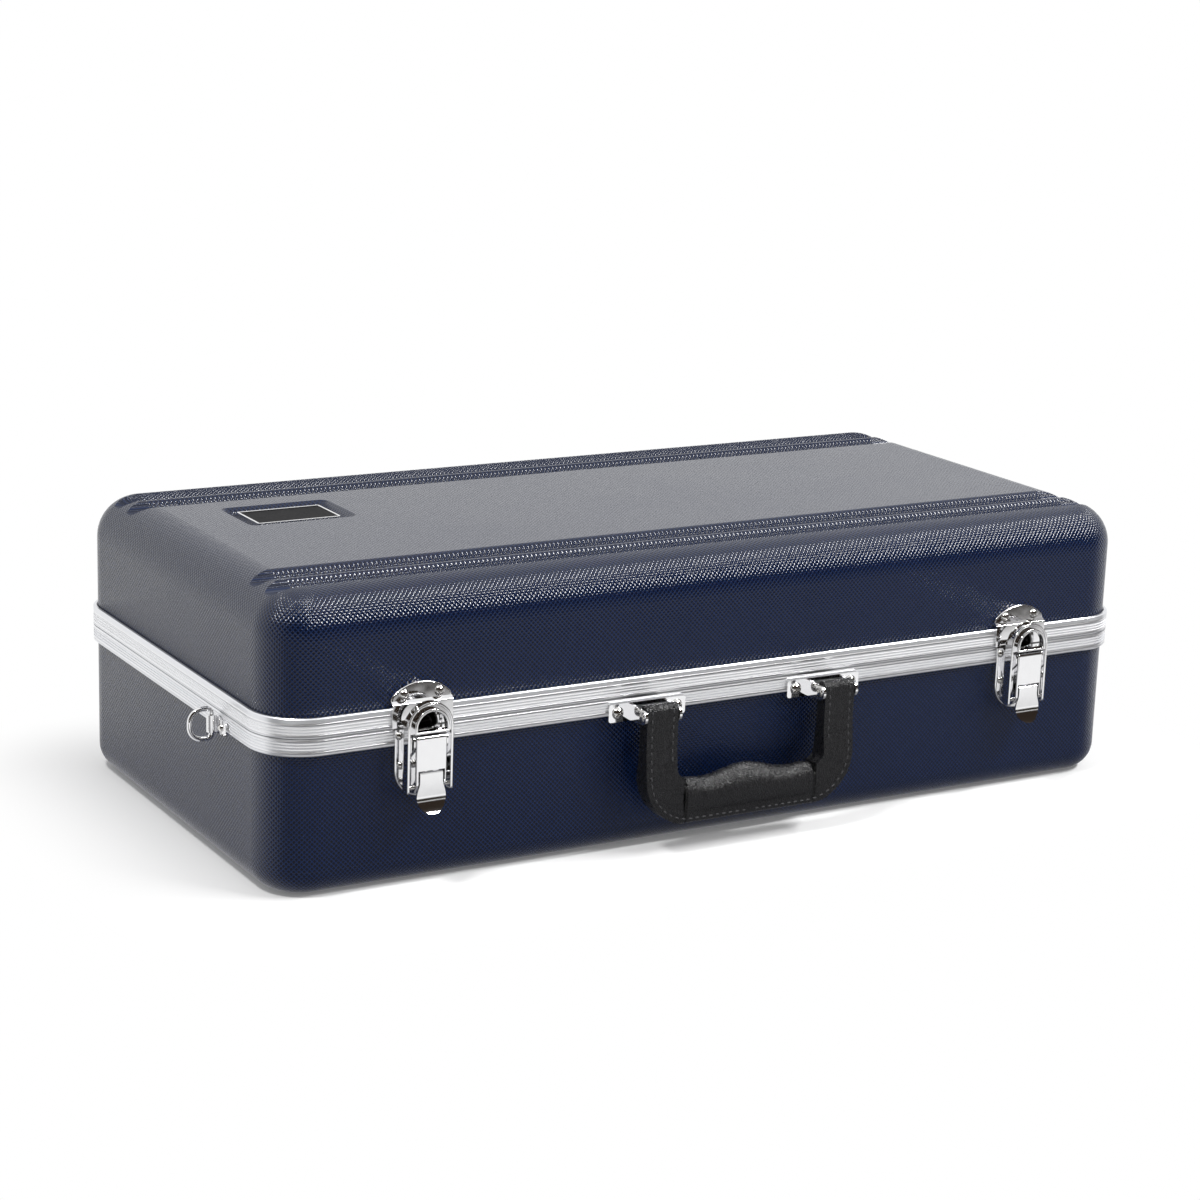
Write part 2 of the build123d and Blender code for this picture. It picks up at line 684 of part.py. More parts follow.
def latch_plate(x):
    """Dished back plate on the base with the two ears that carry the lever."""
    back = -SHELL_INSET + SHELL_PLAY
    low = PLATE_BOTTOM_Z + PLATE_HALF_W
    top = LOWER_TOP_Z - SIDE_PLAY

    def outline(shrink):
        with BuildSketch() as shape:
            with Locations((0, low)):
                Circle(PLATE_HALF_W - shrink)
            with Locations((0, (low + top) / 2)):
                Rectangle(2 * (PLATE_HALF_W - shrink), top - low)
        return shape.sketch

    with BuildPart() as piece:
        with BuildSketch(front(back, x)):
            add(outline(0))
        extrude(amount=SHEET_T + SHELL_PLAY - back)
        fillet(piece.faces().sort_by(Axis.Y)[0].edges().sort_by(Axis.Z)[:-1], 0.8)
        with BuildSketch(front(back - 1, x)):
            add(outline(SHEET_T))
        extrude(amount=1 + SHELL_PLAY - back, mode=Mode.SUBTRACT)
        with BuildSketch(front(back - 1, x)):
            with Locations((0, LOWER_BOTTOM_Z + 10 - SHELL_PLAY)):
                Rectangle(4 * PLATE_HALF_W, 20)
        extrude(amount=1 + SHELL_PLAY - back, mode=Mode.SUBTRACT)
        for side in (-1, 1):
            inner = x + side * EAR_INNER if side > 0 else x - EAR_INNER - EAR_T
            with BuildSketch(side_profile(inner + EAR_T)):
                with BuildLine():
                    FilletPolyline(
                        (SHELL_PLAY + SHEET_T / 2, LEVER_AXIS_Z - 13),
                        (LEVER_AXIS_OUT + LEVER_EYE_R - 0.4, LEVER_AXIS_Z - LEVER_EYE_R),
                        (LEVER_AXIS_OUT + LEVER_EYE_R - 0.4, LEVER_AXIS_Z + LEVER_EYE_R),
                        (SHELL_PLAY + SHEET_T / 2, LEVER_AXIS_Z + LEVER_EYE_R),
                        radius=(0, 2.6, 2.6, 0),
                        close=True,
                    )
                make_face()
                with Locations((LEVER_AXIS_OUT, LEVER_AXIS_Z)):
                    Circle(LATCH_PIN_R + RIVET_PLAY, mode=Mode.SUBTRACT)
            extrude(amount=EAR_T)
        add(holes_for(latch_plate_rivet_planes(3), SMALL_RIVET, 6), mode=Mode.SUBTRACT)
    return piece.part


def latch_lever(x):
    """Sheet lever: front plate with a notch for the catch, and two side flanges."""
    plate_back = LATCH_FRONT - LEVER_SHEET
    flange_back = LATCH_FRONT - LEVER_FLANGE_DEPTH
    with BuildPart() as piece:
        with BuildSketch(side_profile(x + LEVER_HALF_W)):
            with BuildLine():
                FilletPolyline(
                    (LATCH_FRONT, LEVER_TOP_Z),
                    (LATCH_FRONT, LEVER_HORN_Z - 1),
                    (LATCH_FRONT - 3, BAIL_AXIS_Z - CATCH_EYE_R - 0.4),
                    (flange_back + 0.8, BAIL_AXIS_Z - CATCH_EYE_R - 0.4),
                    (flange_back, BAIL_AXIS_Z + 4),
                    (flange_back, LEVER_AXIS_Z),
                    (LEVER_AXIS_OUT - LEVER_EYE_R + 0.4, LEVER_TOP_Z - 0.6),
                    radius=(LEVER_ROLL_R, 2.2, 1.5, 1.5, 3, 3, 1.5),
                    close=True,
                )
            make_face()
        extrude(amount=2 * LEVER_HALF_W)
        fillet(piece.faces().sort_by(Axis.Y)[0].edges().filter_by(Axis.Z), 0.8)
        with BuildSketch(side_profile(x + LEVER_HALF_W - LEVER_SHEET)):
            with Locations((plate_back - 10, (LEVER_TOP_Z + LEVER_AXIS_Z) / 2 - 20)):
                Rectangle(20, 60)
        extrude(amount=2 * (LEVER_HALF_W - LEVER_SHEET), mode=Mode.SUBTRACT)
        with BuildSketch(front(plate_back - 0.5, x)):
            with Locations((0, NOTCH_TOP_Z - 20)):
                Rectangle(2 * NOTCH_HALF_W, 40)
        extrude(amount=2, mode=Mode.SUBTRACT)
        for out, z in ((LEVER_AXIS_OUT, LEVER_AXIS_Z), (BAIL_AXIS_OUT, BAIL_AXIS_Z)):
            play = PIN_PLAY if z == LEVER_AXIS_Z else RIVET_PLAY
            with BuildSketch(side_profile(x + LEVER_HALF_W + 1)):
                with Locations((out, z)):
                    Circle(LATCH_PIN_R + play)
            extrude(amount=2 * LEVER_HALF_W + 2, mode=Mode.SUBTRACT)
    return piece.part


def bail_outline(half, centre_z, bottom_z):
    """Arch outline: a half round on two straight sides."""
    with BuildSketch() as shape:
        with Locations((0, centre_z)):
            Circle(half)
        with Locations((0, (centre_z + bottom_z) / 2)):
            Rectangle(2 * half, centre_z - bottom_z)
        with Locations((0, bottom_z - half)):
            Rectangle(4 * half, 2 * half, mode=Mode.SUBTRACT)
    return shape.sketch


def bail_side():
    """Side outline of the bail's strap: deep legs with a rounded foot, slimmer ring."""
    leg_back = BAIL_FRONT - BAIL_LEG_DEPTH
    ring_back = BAIL_FRONT - BAIL_RING_DEPTH
    top = BAIL_CENTRE_Z + BAIL_HALF_W + 1
    with BuildSketch() as shape:
        with BuildLine():
            FilletPolyline(
                (ring_back, top), (BAIL_FRONT, top), (BAIL_FRONT, BAIL_BOTTOM_Z),
                (leg_back, BAIL_BOTTOM_Z), (leg_back, BAIL_SLOPE_ZS[0]),
                (ring_back, BAIL_SLOPE_ZS[1]),
                radius=(0, 0, 1.6, 2.6, 4, 4),
                close=True,
            )
        make_face()
    return shape.sketch


def bail_lip(x):
    """Raised lip round the window, its lower side forming the crossbar."""
    back = BAIL_WEB_OUT - BAIL_SHEET
    with BuildPart() as lip:
        with BuildSketch(front(back, x)):
            add(bail_outline(WINDOW_HALF_W + LIP_W, WINDOW_CENTRE_Z, WINDOW_BOTTOM_Z - WINDOW_BAR))
            add(
                bail_outline(WINDOW_HALF_W, WINDOW_CENTRE_Z, WINDOW_BOTTOM_Z),
                mode=Mode.SUBTRACT,
            )
        extrude(amount=LIP_FRONT - back)
        fillet(lip.faces().sort_by(Axis.Y)[0].edges(), LIP_EDGE_R)
    return lip.part


def latch_bail(x):
    """Arched strap on edge, with a web inside its top that carries the window's lip."""
    leg_back = BAIL_FRONT - BAIL_LEG_DEPTH
    inside = BAIL_HALF_W - BAIL_STRAP_T
    web_bottom = WINDOW_BOTTOM_Z - WINDOW_BAR
    with BuildPart() as piece:
        with BuildSketch(front(leg_back, x)):
            add(bail_outline(BAIL_HALF_W, BAIL_CENTRE_Z, BAIL_BOTTOM_Z))
            add(bail_outline(inside, BAIL_CENTRE_Z, BAIL_BOTTOM_Z), mode=Mode.SUBTRACT)
        extrude(amount=BAIL_LEG_DEPTH)
        rims = piece.faces().sort_by(Axis.Y)[0].edges().sort_by(Axis.Z)[2:]
        fillet(rims, BAIL_EDGE_R)
        with BuildSketch(side_profile(x + BAIL_HALF_W)):
            add(bail_side())
        extrude(amount=2 * BAIL_HALF_W, mode=Mode.INTERSECT)
        with BuildSketch(front(BAIL_WEB_OUT - BAIL_SHEET, x)):
            add(bail_outline(inside + BAIL_STRAP_T / 2, BAIL_CENTRE_Z, web_bottom))
            add(
                bail_outline(WINDOW_HALF_W, WINDOW_CENTRE_Z, WINDOW_BOTTOM_Z),
                mode=Mode.SUBTRACT,
            )
        extrude(amount=BAIL_SHEET)
        add(bail_lip(x))
        with BuildSketch(side_profile(x + BAIL_HALF_W + 1)):
            with Locations((BAIL_AXIS_OUT, BAIL_AXIS_Z)):
                Circle(LATCH_PIN_R + PIN_PLAY)
        extrude(amount=2 * BAIL_HALF_W + 2, mode=Mode.SUBTRACT)
    return piece.part


def latch_catch(x):
    """Safety catch: finger tab in the lever's notch, its round end curled outwards."""
    back = LATCH_FRONT - LEVER_SHEET
    curl_end = CATCH_BOTTOM_Z - 1
    with BuildPart() as piece:
        with BuildSketch(side_profile(x + CATCH_HALF_LOW)):
            with BuildLine():
                inner = Line((back, CATCH_TOP_Z), (back, CATCH_CURL_Z))
                under = TangentArc(inner @ 1, (back + CATCH_CURL_OUT, curl_end),
                                   tangent=inner % 1)
                lip = Line(under @ 1, under @ 1 + Vector(LEVER_SHEET, LEVER_SHEET / 3))
                face = Line((LATCH_FRONT, CATCH_TOP_Z - 1), (LATCH_FRONT, CATCH_CURL_Z + 0.6))
                TangentArc(face @ 1, lip @ 1, tangent=face % 1)
                Line(inner @ 0, face @ 0)
            make_face()
        extrude(amount=2 * CATCH_HALF_LOW)
        with BuildSketch(front(back - 1, x)):
            with BuildLine():
                shoulder = CATCH_BOTTOM_Z + CATCH_HALF_LOW
                top = Line((-CATCH_HALF_TOP, CATCH_TOP_Z + 1), (CATCH_HALF_TOP, CATCH_TOP_Z + 1))
                neck = Line(top @ 1, (CATCH_HALF_TOP, CATCH_NECK_Z))
                flare = Spline(neck @ 1, (CATCH_HALF_LOW, shoulder), tangents=((0, -1), (0, -1)))
                tip = ThreePointArc(flare @ 1, (0, CATCH_BOTTOM_Z), (-CATCH_HALF_LOW, shoulder))
                back_flare = Spline(
                    tip @ 1, (-CATCH_HALF_TOP, CATCH_NECK_Z), tangents=((0, 1), (0, 1))
                )
                Line(back_flare @ 1, top @ 0)
            make_face()
        extrude(amount=CATCH_CURL_OUT + 4, mode=Mode.INTERSECT)
        with BuildSketch(side_profile(x + CATCH_HALF_TOP)):
            with Locations((BAIL_AXIS_OUT, BAIL_AXIS_Z)):
                Circle(CATCH_EYE_R)
            with Locations(((BAIL_AXIS_OUT + back + CATCH_OVERLAP) / 2, BAIL_AXIS_Z)):
                Rectangle(back - BAIL_AXIS_OUT + CATCH_OVERLAP, CATCH_ARM_H)
        extrude(amount=2 * CATCH_HALF_TOP)
        between_eyes = CATCH_HALF_TOP - CATCH_EYE_W
        with BuildSketch(side_profile(x + between_eyes)):
            with Locations(((BAIL_AXIS_OUT - CATCH_EYE_R + back) / 2, BAIL_AXIS_Z)):
                Rectangle(back - BAIL_AXIS_OUT + CATCH_EYE_R, 2 * CATCH_EYE_R + 1)
        extrude(amount=2 * between_eyes, mode=Mode.SUBTRACT)
        with BuildSketch(side_profile(x + CATCH_HALF_TOP + 1)):
            with Locations((BAIL_AXIS_OUT, BAIL_AXIS_Z)):
                Circle(LATCH_PIN_R + PIN_PLAY)
        extrude(amount=2 * CATCH_HALF_TOP + 2, mode=Mode.SUBTRACT)
    return piece.part


def catch_spring(x):
    """Torsion spring of the catch: close turns on the lower pin."""
    turn_r = LATCH_PIN_R + SPRING_WIRE / 2 + SPRING_BORE_PLAY
    with BuildPart() as coil:
        for i in range(SPRING_TURNS):
            shift = (i - (SPRING_TURNS - 1) / 2) * SPRING_PITCH
            place = (x + shift, -HALF_W - BAIL_AXIS_OUT, BAIL_AXIS_Z)
            with Locations(Location(place, (0, 90, 0))):
                Cylinder(turn_r + SPRING_WIRE / 2, SPRING_WIRE * 1.25)
                Cylinder(turn_r - SPRING_WIRE / 2, SPRING_WIRE * 4, mode=Mode.SUBTRACT)
    return coil.part


def latches():
    """Both latches, piece by piece, with the rivets that hold them."""
    for name, x in LATCH_XS.items():
        save(keeper(x), f"latch_{name}_keeper")
        save(latch_plate(x), f"latch_{name}_plate")
        save(latch_lever(x), f"latch_{name}_lever")
        save(latch_bail(x), f"latch_{name}_bail")
        save(latch_catch(x), f"latch_{name}_catch")
        y = -HALF_W - LEVER_AXIS_OUT
        reach = EAR_INNER + EAR_T
        save(cylinder_x(x - reach, x + reach, y, LEVER_AXIS_Z, LATCH_PIN_R),
             f"latch_{name}_lever_pin")
        y = -HALF_W - BAIL_AXIS_OUT
        save(cylinder_x(x - BAIL_HALF_W, x + BAIL_HALF_W, y, BAIL_AXIS_Z, LATCH_PIN_R),
             f"latch_{name}_bail_pin")
        save(catch_spring(x), f"latch_{name}_catch_spring")
    planes = latch_plate_rivet_planes(SHELL_PLAY + SHEET_T)
    deep = SHEET_T + SHELL_INSET + SHELL_WALL
    shallow = SHEET_T + VALANCE_WEB
    solids = [
        rivet(p, shank_l=deep if p.origin.Z < LOWER_BOTTOM_Z else shallow, **SMALL_RIVET)
        for p in planes
    ]
    save(Compound(children=solids), "latch_plate_rivets")
    planes = keeper_rivet_planes(KEEPER_DOME_T - SHELL_INSET + SHELL_PLAY)
    solids = [rivet(p, shank_l=KEEPER_DOME_T + SHELL_WALL, **BIG_RIVET) for p in planes]
    save(Compound(children=solids), "keeper_rivets")


# ---------------------------------------------------------------- handle
def handle_bracket(x):
    """Riveted bracket: plate on the valance with two ears for the handle's pin."""
    ear_inner = HANDLE_LEG_W / 2 + SIDE_PLAY
    tip = HANDLE_AXIS_OUT + BRACKET_EAR_R
    with BuildPart() as piece:
        with BuildSketch(front(0, x)):
            with Locations((0, BRACKET_Z)):
                RectangleRounded(BRACKET_LENGTH, BRACKET_H, BRACKET_CORNER_R)
            with Locations((0, BRACKET_Z)):
                Rectangle(2 * ear_inner, BRACKET_H - 2 * BRACKET_STRIP, mode=Mode.SUBTRACT)
        extrude(amount=BRACKET_T)
        for side in (-1, 1):
            start = x + ear_inner + BRACKET_EAR_T if side > 0 else x - ear_inner
            with BuildSketch(side_profile(start)):
                with BuildLine():
                    FilletPolyline(
                        (BRACKET_T / 2, BRACKET_Z - BRACKET_H / 2 + 0.6),
                        (tip, HANDLE_AXIS_Z - BRACKET_EAR_R),
                        (tip, HANDLE_AXIS_Z + BRACKET_EAR_R),
                        (BRACKET_T / 2, BRACKET_Z + BRACKET_H / 2 - 0.4),
                        radius=(0, BRACKET_EAR_R - 0.2, BRACKET_EAR_R - 0.2, 0),
                        close=True,
                    )
                make_face()
                with Locations((HANDLE_AXIS_OUT, HANDLE_AXIS_Z)):
                    Circle(HANDLE_PIN_R + RIVET_PLAY, mode=Mode.SUBTRACT)
            extrude(amount=BRACKET_EAR_T)
        add(holes_for(bracket_screw_planes(3), SCREW, 6), mode=Mode.SUBTRACT)
    return piece.part


def handle_side():
    """Side outline of the strap: slim round-topped legs that thicken towards the grip."""
    mid = HANDLE_MID_OUT
    slim = HANDLE_T / 2
    full = HANDLE_LOW_T / 2
    low, high = HANDLE_TAPER_ZS
    with BuildSketch() as shape:
        with BuildLine():
            FilletPolyline(
                (mid - slim, HANDLE_TOP_Z), (mid + slim, HANDLE_TOP_Z), (mid + slim, high),
                (mid + full, low), (mid + full, HANDLE_BOTTOM_Z),
                (mid - full, HANDLE_BOTTOM_Z), (mid - full, low), (mid - slim, high),
                radius=(slim - 0.1, slim - 0.1, 25, 25, 3, 3, 25, 25),
                close=True,
            )
        make_face()
    return shape.sketch


def handle_strap():
    """U-shaped strap: two legs that round into the grip's seams, joined by the hem."""
    outer = HANDLE_SPREAD + HANDLE_LEG_W / 2
    inner = HANDLE_SPREAD - HANDLE_LEG_W / 2
    left_top, right_top = SEAM_TOP_ZS
    hem = HANDLE_BOTTOM_Z + HANDLE_HEM
    with BuildPart() as piece:
        with BuildSketch(front(HANDLE_MID_OUT - HANDLE_LOW_T / 2)):
            with BuildLine():
                FilletPolyline(
                    (-outer, HANDLE_TOP_Z), (-outer, HANDLE_BOTTOM_Z),
                    (outer, HANDLE_BOTTOM_Z), (outer, HANDLE_TOP_Z),
                    (inner, HANDLE_TOP_Z), (inner, right_top + 1.5), (SEAM_X, right_top),
                    (SEAM_X, hem), (-SEAM_X, hem), (-SEAM_X, left_top),
                    (-inner, left_top + 1.5), (-inner, HANDLE_TOP_Z),
                    radius=(
                        0, HANDLE_CORNER_R, HANDLE_CORNER_R, 0, 0, HANDLE_INNER_R,
                        0, 0, 0, 0, HANDLE_INNER_R, 0,
                    ),
                    close=True,
                )
            make_face()
        extrude(amount=HANDLE_LOW_T)
        with BuildSketch(side_profile(outer)):
            add(handle_side())
        extrude(amount=2 * outer, mode=Mode.INTERSECT)
        for x in HANDLE_XS.values():
            with BuildSketch(side_profile(x + HANDLE_LEG_W / 2 + 1)):
                with Locations((HANDLE_AXIS_OUT, HANDLE_AXIS_Z)):
                    Circle(HANDLE_PIN_R + PIN_PLAY)
            extrude(amount=HANDLE_LEG_W + 2, mode=Mode.SUBTRACT)
    return piece.part


def handle_grip():
    """Moulded grip lofted over the hem: rounded section, finger hollows and a bump."""
    bottom = HANDLE_BOTTOM_Z + HANDLE_HEM + RIVET_PLAY
    stretch = (SEAM_X - SEAM_PLAY) / GRIP_STATIONS[-1][0]
    with BuildPart() as piece:
        for x, crown, thick in GRIP_STATIONS:
            half = thick / 2
            upper = GRIP_WIDEST_Z + (crown - GRIP_WIDEST_Z) * 0.72
            with BuildSketch(side_profile(x * stretch)):
                with BuildLine():
                    cap = Spline(
                        (HANDLE_MID_OUT - HANDLE_LOW_T / 2, bottom),
                        (HANDLE_MID_OUT - half, GRIP_WIDEST_Z),
                        (HANDLE_MID_OUT - half * 0.72, upper),
                        (HANDLE_MID_OUT, crown),
                        (HANDLE_MID_OUT + half * 0.72, upper),
                        (HANDLE_MID_OUT + half, GRIP_WIDEST_Z),
                        (HANDLE_MID_OUT + HANDLE_LOW_T / 2, bottom),
                    )
                    Line(cap @ 1, cap @ 0)
                make_face()
        loft()
    return piece.part


def handle():
    """Handle with brackets, pins and bracket screws."""
    save(handle_strap(), "handle_strap")
    save(handle_grip(), "handle_grip")
    reach = HANDLE_LEG_W / 2 + SIDE_PLAY + BRACKET_EAR_T
    pins = []
    for name, x in HANDLE_XS.items():
        save(handle_bracket(x), f"handle_bracket_{name}")
        with BuildPart() as pin:
            add(cylinder_x(x - reach, x + reach, -HALF_W - HANDLE_AXIS_OUT, HANDLE_AXIS_Z,
                           HANDLE_PIN_R))
            for side in (-1, 1):
                place = Plane(origin=(x + side * reach, -HALF_W - HANDLE_AXIS_OUT,
                                      HANDLE_AXIS_Z), z_dir=(side, 0, 0))
                add(rivet(place, 2.8, 1.2, HANDLE_PIN_R, 1))
        pins.append(pin.part)
    save(Compound(children=pins), "handle_pins")
    solids = [slotted_screw(p, shank_l=BRACKET_T + VALANCE_WEB, **SCREW)
              for p in bracket_screw_planes(BRACKET_T)]
    save(Compound(children=solids), "bracket_screws")


# ---------------------------------------------------------------- strap rings
def ring_clip(side):
    """Folded clip on the end of the case, rolled round the ring's upright bar."""
    face = side * HALF_L
    axis_x = side * (HALF_L + RING_AXIS_OUT)
    knuckle_r = RING_WIRE_R + PIN_PLAY + CLIP_T
    with BuildPart() as piece:
        with BuildSketch(Plane(origin=(face, 0, 0), x_dir=(0, 1, 0), z_dir=(side, 0, 0))):
            with BuildLine():
                up = side
                FilletPolyline(
                    (RING_Y, up * (RING_Z - CLIP_H / 2)), (RING_Y, up * (RING_Z + CLIP_H / 2)),
                    (RING_Y - CLIP_LENGTH, up * (CLIP_RIVET_Z + CLIP_TIP_HALF_H)),
                    (RING_Y - CLIP_LENGTH, up * (CLIP_RIVET_Z - CLIP_TIP_HALF_H)),
                    radius=(0, 0, CLIP_TIP_R, CLIP_TIP_R),
                    close=True,
                )
            make_face()
        extrude(amount=CLIP_T)
        with BuildSketch(Plane.XY.offset(RING_Z - CLIP_H / 2)):
            with Locations((axis_x, RING_Y)):
                Circle(knuckle_r)
        extrude(amount=CLIP_H)
        with BuildSketch(Plane.XY.offset(RING_Z - CLIP_H)):
            with Locations((axis_x, RING_Y)):
                Circle(RING_WIRE_R + PIN_PLAY)
        extrude(amount=2 * CLIP_H, mode=Mode.SUBTRACT)
        add(holes_for(clip_rivet_planes(3), SMALL_RIVET, 6), mode=Mode.SUBTRACT)
    return piece.part


def strap_ring(side):
    """Bent wire ring: upright bar in the clip and a rounded bow."""
    axis_x = side * (HALF_L + RING_AXIS_OUT)
    half = RING_BAR / 2
    bow = side * RING_REACH
    with BuildPart() as piece:
        with BuildLine(Plane(origin=(axis_x, RING_Y, RING_Z), x_dir=(1, 0, 0), z_dir=(0, -1, 0))):
            FilletPolyline(
                (0, 0), (0, half), (bow, half), (bow, -half), (0, -half),
                radius=(0, RING_BEND_R, RING_BOW_R, RING_BOW_R, RING_BEND_R),
                close=True,
            )
        with BuildSketch(Plane(origin=(axis_x, RING_Y, RING_Z), z_dir=(0, 0, 1))):
            Circle(RING_WIRE_R)
        sweep()
    return piece.part


def strap_rings():
    """Rings, clips and rivets on both ends."""
    for name, side in (("left", -1), ("right", 1)):
        save(strap_ring(side), f"strap_ring_{name}")
        save(ring_clip(side), f"ring_clip_{name}")
    planes = clip_rivet_planes(CLIP_T)
    solids = [rivet(p, shank_l=CLIP_T + VALANCE_WEB, **SMALL_RIVET) for p in planes]
    save(Compound(children=solids), "ring_clip_rivets")


# ---------------------------------------------------------------- lining
def pocket(x, y, length, width, floor_z, corner_r):
    """Upright pocket cut down from the bed's top."""
    with BuildPart() as cut:
        with BuildSketch(Plane.XY.offset(floor_z)):
            with Locations((x, y)):
                RectangleRounded(length, width, corner_r)
        extrude(amount=HEIGHT)
    return cut.part


def trumpet_bed():
    """Foam bed: bell, valve and tube pockets, accessory well and mouthpiece holes."""
    body_l = BELL_X - BODY_END_X
    with BuildPart() as foam:
        with BuildSketch(Plane.XY.offset(SHELL_WALL + LINING_PLAY)):
            RectangleRounded(LENGTH - 2 * BED_INSET, WIDTH - 2 * BED_INSET, CORNER_R - BED_INSET)
        extrude(amount=BED_TOP_Z - SHELL_WALL - LINING_PLAY)
        fillet(foam.edges().group_by(Axis.Z)[0], BASE_EDGE_R - SHELL_WALL)
        add(pocket(BELL_X, TRUMPET_Y, BELL_L, BELL_D, BELL_FLOOR_Z, POCKET_R), mode=Mode.SUBTRACT)
        add(pocket(BODY_END_X + body_l / 2, TRUMPET_Y, body_l, BODY_W, BODY_FLOOR_Z, POCKET_R),
            mode=Mode.SUBTRACT)
        add(pocket(VALVE_X, TRUMPET_Y, VALVE_L, VALVE_W, VALVE_FLOOR_Z, POCKET_R),
            mode=Mode.SUBTRACT)
        add(pocket(BOX_X, BOX_Y, BOX_L, BOX_W, BED_TOP_Z - FLAP_T, 1.0), mode=Mode.SUBTRACT)
        add(pocket(BOX_X, BOX_Y, BOX_L - 2 * FLAP_LEDGE, BOX_W - 2 * FLAP_LEDGE, BOX_FLOOR_Z, 4),
            mode=Mode.SUBTRACT)
        with BuildSketch(Plane.XY.offset(BED_TOP_Z)):
            with Locations(*[(x, BOX_Y) for x in MOUTHPIECE_XS]):
                Circle(MOUTHPIECE_R)
        extrude(amount=-MOUTHPIECE_DEPTH, mode=Mode.SUBTRACT)
    return foam.part


def lid_liner():
    """Padded tray that fills the lid down to the valance."""
    top = HEIGHT - SHELL_WALL - GROOVE_DEPTH - LINING_PLAY
    bottom = LID_SHELL_BOTTOM
    with BuildPart() as pad:
        with BuildSketch(Plane.XY.offset(bottom)):
            RectangleRounded(LENGTH - 2 * PAD_INSET, WIDTH - 2 * PAD_INSET, CORNER_R - PAD_INSET)
        extrude(amount=top - bottom)
        fillet(pad.edges().group_by(Axis.Z)[-1], PAD_EDGE_R)
        inset = PAD_INSET + PAD_WALL
        with BuildSketch(Plane.XY.offset(bottom)):
            RectangleRounded(LENGTH - 2 * inset, WIDTH - 2 * inset, CORNER_R - inset)
        extrude(amount=top - bottom - PAD_TOP_T, mode=Mode.SUBTRACT)
    return pad.part


def accessory_flap():
    """Padded board over the accessory well."""
    with BuildPart() as board:
        with BuildSketch(Plane.XY.offset(BED_TOP_Z - FLAP_T + SIDE_PLAY)):
            with Locations((BOX_X, BOX_Y)):
                Rectangle(BOX_L - 2 * FLAP_PLAY, BOX_W - 2 * FLAP_PLAY)
        extrude(amount=FLAP_T - SIDE_PLAY)
    return board.part


def pull_tab():
    """Ribbon loop at the flap's front edge."""
    y = BOX_Y - BOX_W / 2 + FLAP_PLAY
    with BuildPart() as ribbon:
        with BuildSketch(Plane.YZ.offset(BOX_X - 8)):
            with Locations((y + 4, BED_TOP_Z + SIDE_PLAY + 0.5)):
                Rectangle(14, 1.0)
        extrude(amount=16)
    return ribbon.part


def flap_parts():
    """Flap, its small hinge and the pull tab."""
    fixed, moving, pin = hinge_set(
        FLAP_HINGE_L, FLAP_HINGE_LEAF_T, FLAP_HINGE_LEAF_H, FLAP_HINGE_AXIS_OUT,
        FLAP_HINGE_KNUCKLE_R, FLAP_HINGE_PIN_R,
    )
    edge = BOX_Y + BOX_W / 2
    lay = Plane(origin=(BOX_X, edge, BED_TOP_Z + FLAP_HINGE_AXIS_OUT),
                x_dir=(1, 0, 0), z_dir=(0, -1, 0)).location
    save(fixed.moved(lay), "flap_hinge_bed_leaf")
    save(moving.moved(lay), "flap_hinge_flap_leaf")
    save(pin.moved(lay), "flap_hinge_pin")
    save(accessory_flap(), "accessory_flap")
    save(pull_tab(), "pull_tab")


# ---------------------------------------------------------------- build
save(base_shell(), "base_shell")
save(lid_shell(), "lid_shell")
save(base_valance(), "base_valance")
save(lid_valance(), "lid_valance")
save(badge_plate(), "badge_plate")
save(badge_face(), "badge_face")
lid_hinges()
latches()
handle()
strap_rings()
save(trumpet_bed(), "trumpet_bed")
save(lid_liner(), "lid_liner")
flap_parts()
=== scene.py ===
"""Looks of the trumpet case: materials, stitched handle, plush lining, camera and light.

Lengths are in metres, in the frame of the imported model: the origin is under the middle of the
base, +X runs along the case, +Y towards its hinges and +Z up. Latches and handle are at -Y.
"""

import json
import math

import bmesh
import bpy
from mathutils import Matrix, Vector
from mathutils.bvhtree import BVHTree


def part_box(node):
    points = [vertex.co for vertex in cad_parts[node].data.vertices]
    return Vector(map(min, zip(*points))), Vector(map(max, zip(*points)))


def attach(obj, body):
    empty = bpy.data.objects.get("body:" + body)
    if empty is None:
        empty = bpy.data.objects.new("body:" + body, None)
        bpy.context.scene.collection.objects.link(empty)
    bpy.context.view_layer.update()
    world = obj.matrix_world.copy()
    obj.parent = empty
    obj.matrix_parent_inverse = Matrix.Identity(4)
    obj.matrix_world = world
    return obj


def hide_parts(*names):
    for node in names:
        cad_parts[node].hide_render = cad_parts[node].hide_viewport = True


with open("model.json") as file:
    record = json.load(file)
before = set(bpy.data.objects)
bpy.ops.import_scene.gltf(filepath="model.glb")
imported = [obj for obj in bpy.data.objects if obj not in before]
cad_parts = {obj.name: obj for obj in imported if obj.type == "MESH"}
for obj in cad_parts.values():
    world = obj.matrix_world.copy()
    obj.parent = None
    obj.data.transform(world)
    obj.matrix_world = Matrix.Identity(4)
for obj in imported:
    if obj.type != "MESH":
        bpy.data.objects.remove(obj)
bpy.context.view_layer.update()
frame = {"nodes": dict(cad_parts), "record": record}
NODES = frame["nodes"]

# Camera fitted to the photograph
CAMERA_AZIMUTH = math.radians(-30.6464)
CAMERA_ELEVATION = math.radians(14.6585)
CAMERA_ROLL = math.radians(1.9578)
CAMERA_DISTANCE = 1.68065
CAMERA_TARGET = Vector((-0.00703, 0.0, 0.10300))
CAMERA_REACH = 30.0
LENS_MM = 85.057
SENSOR_MM = 36.0

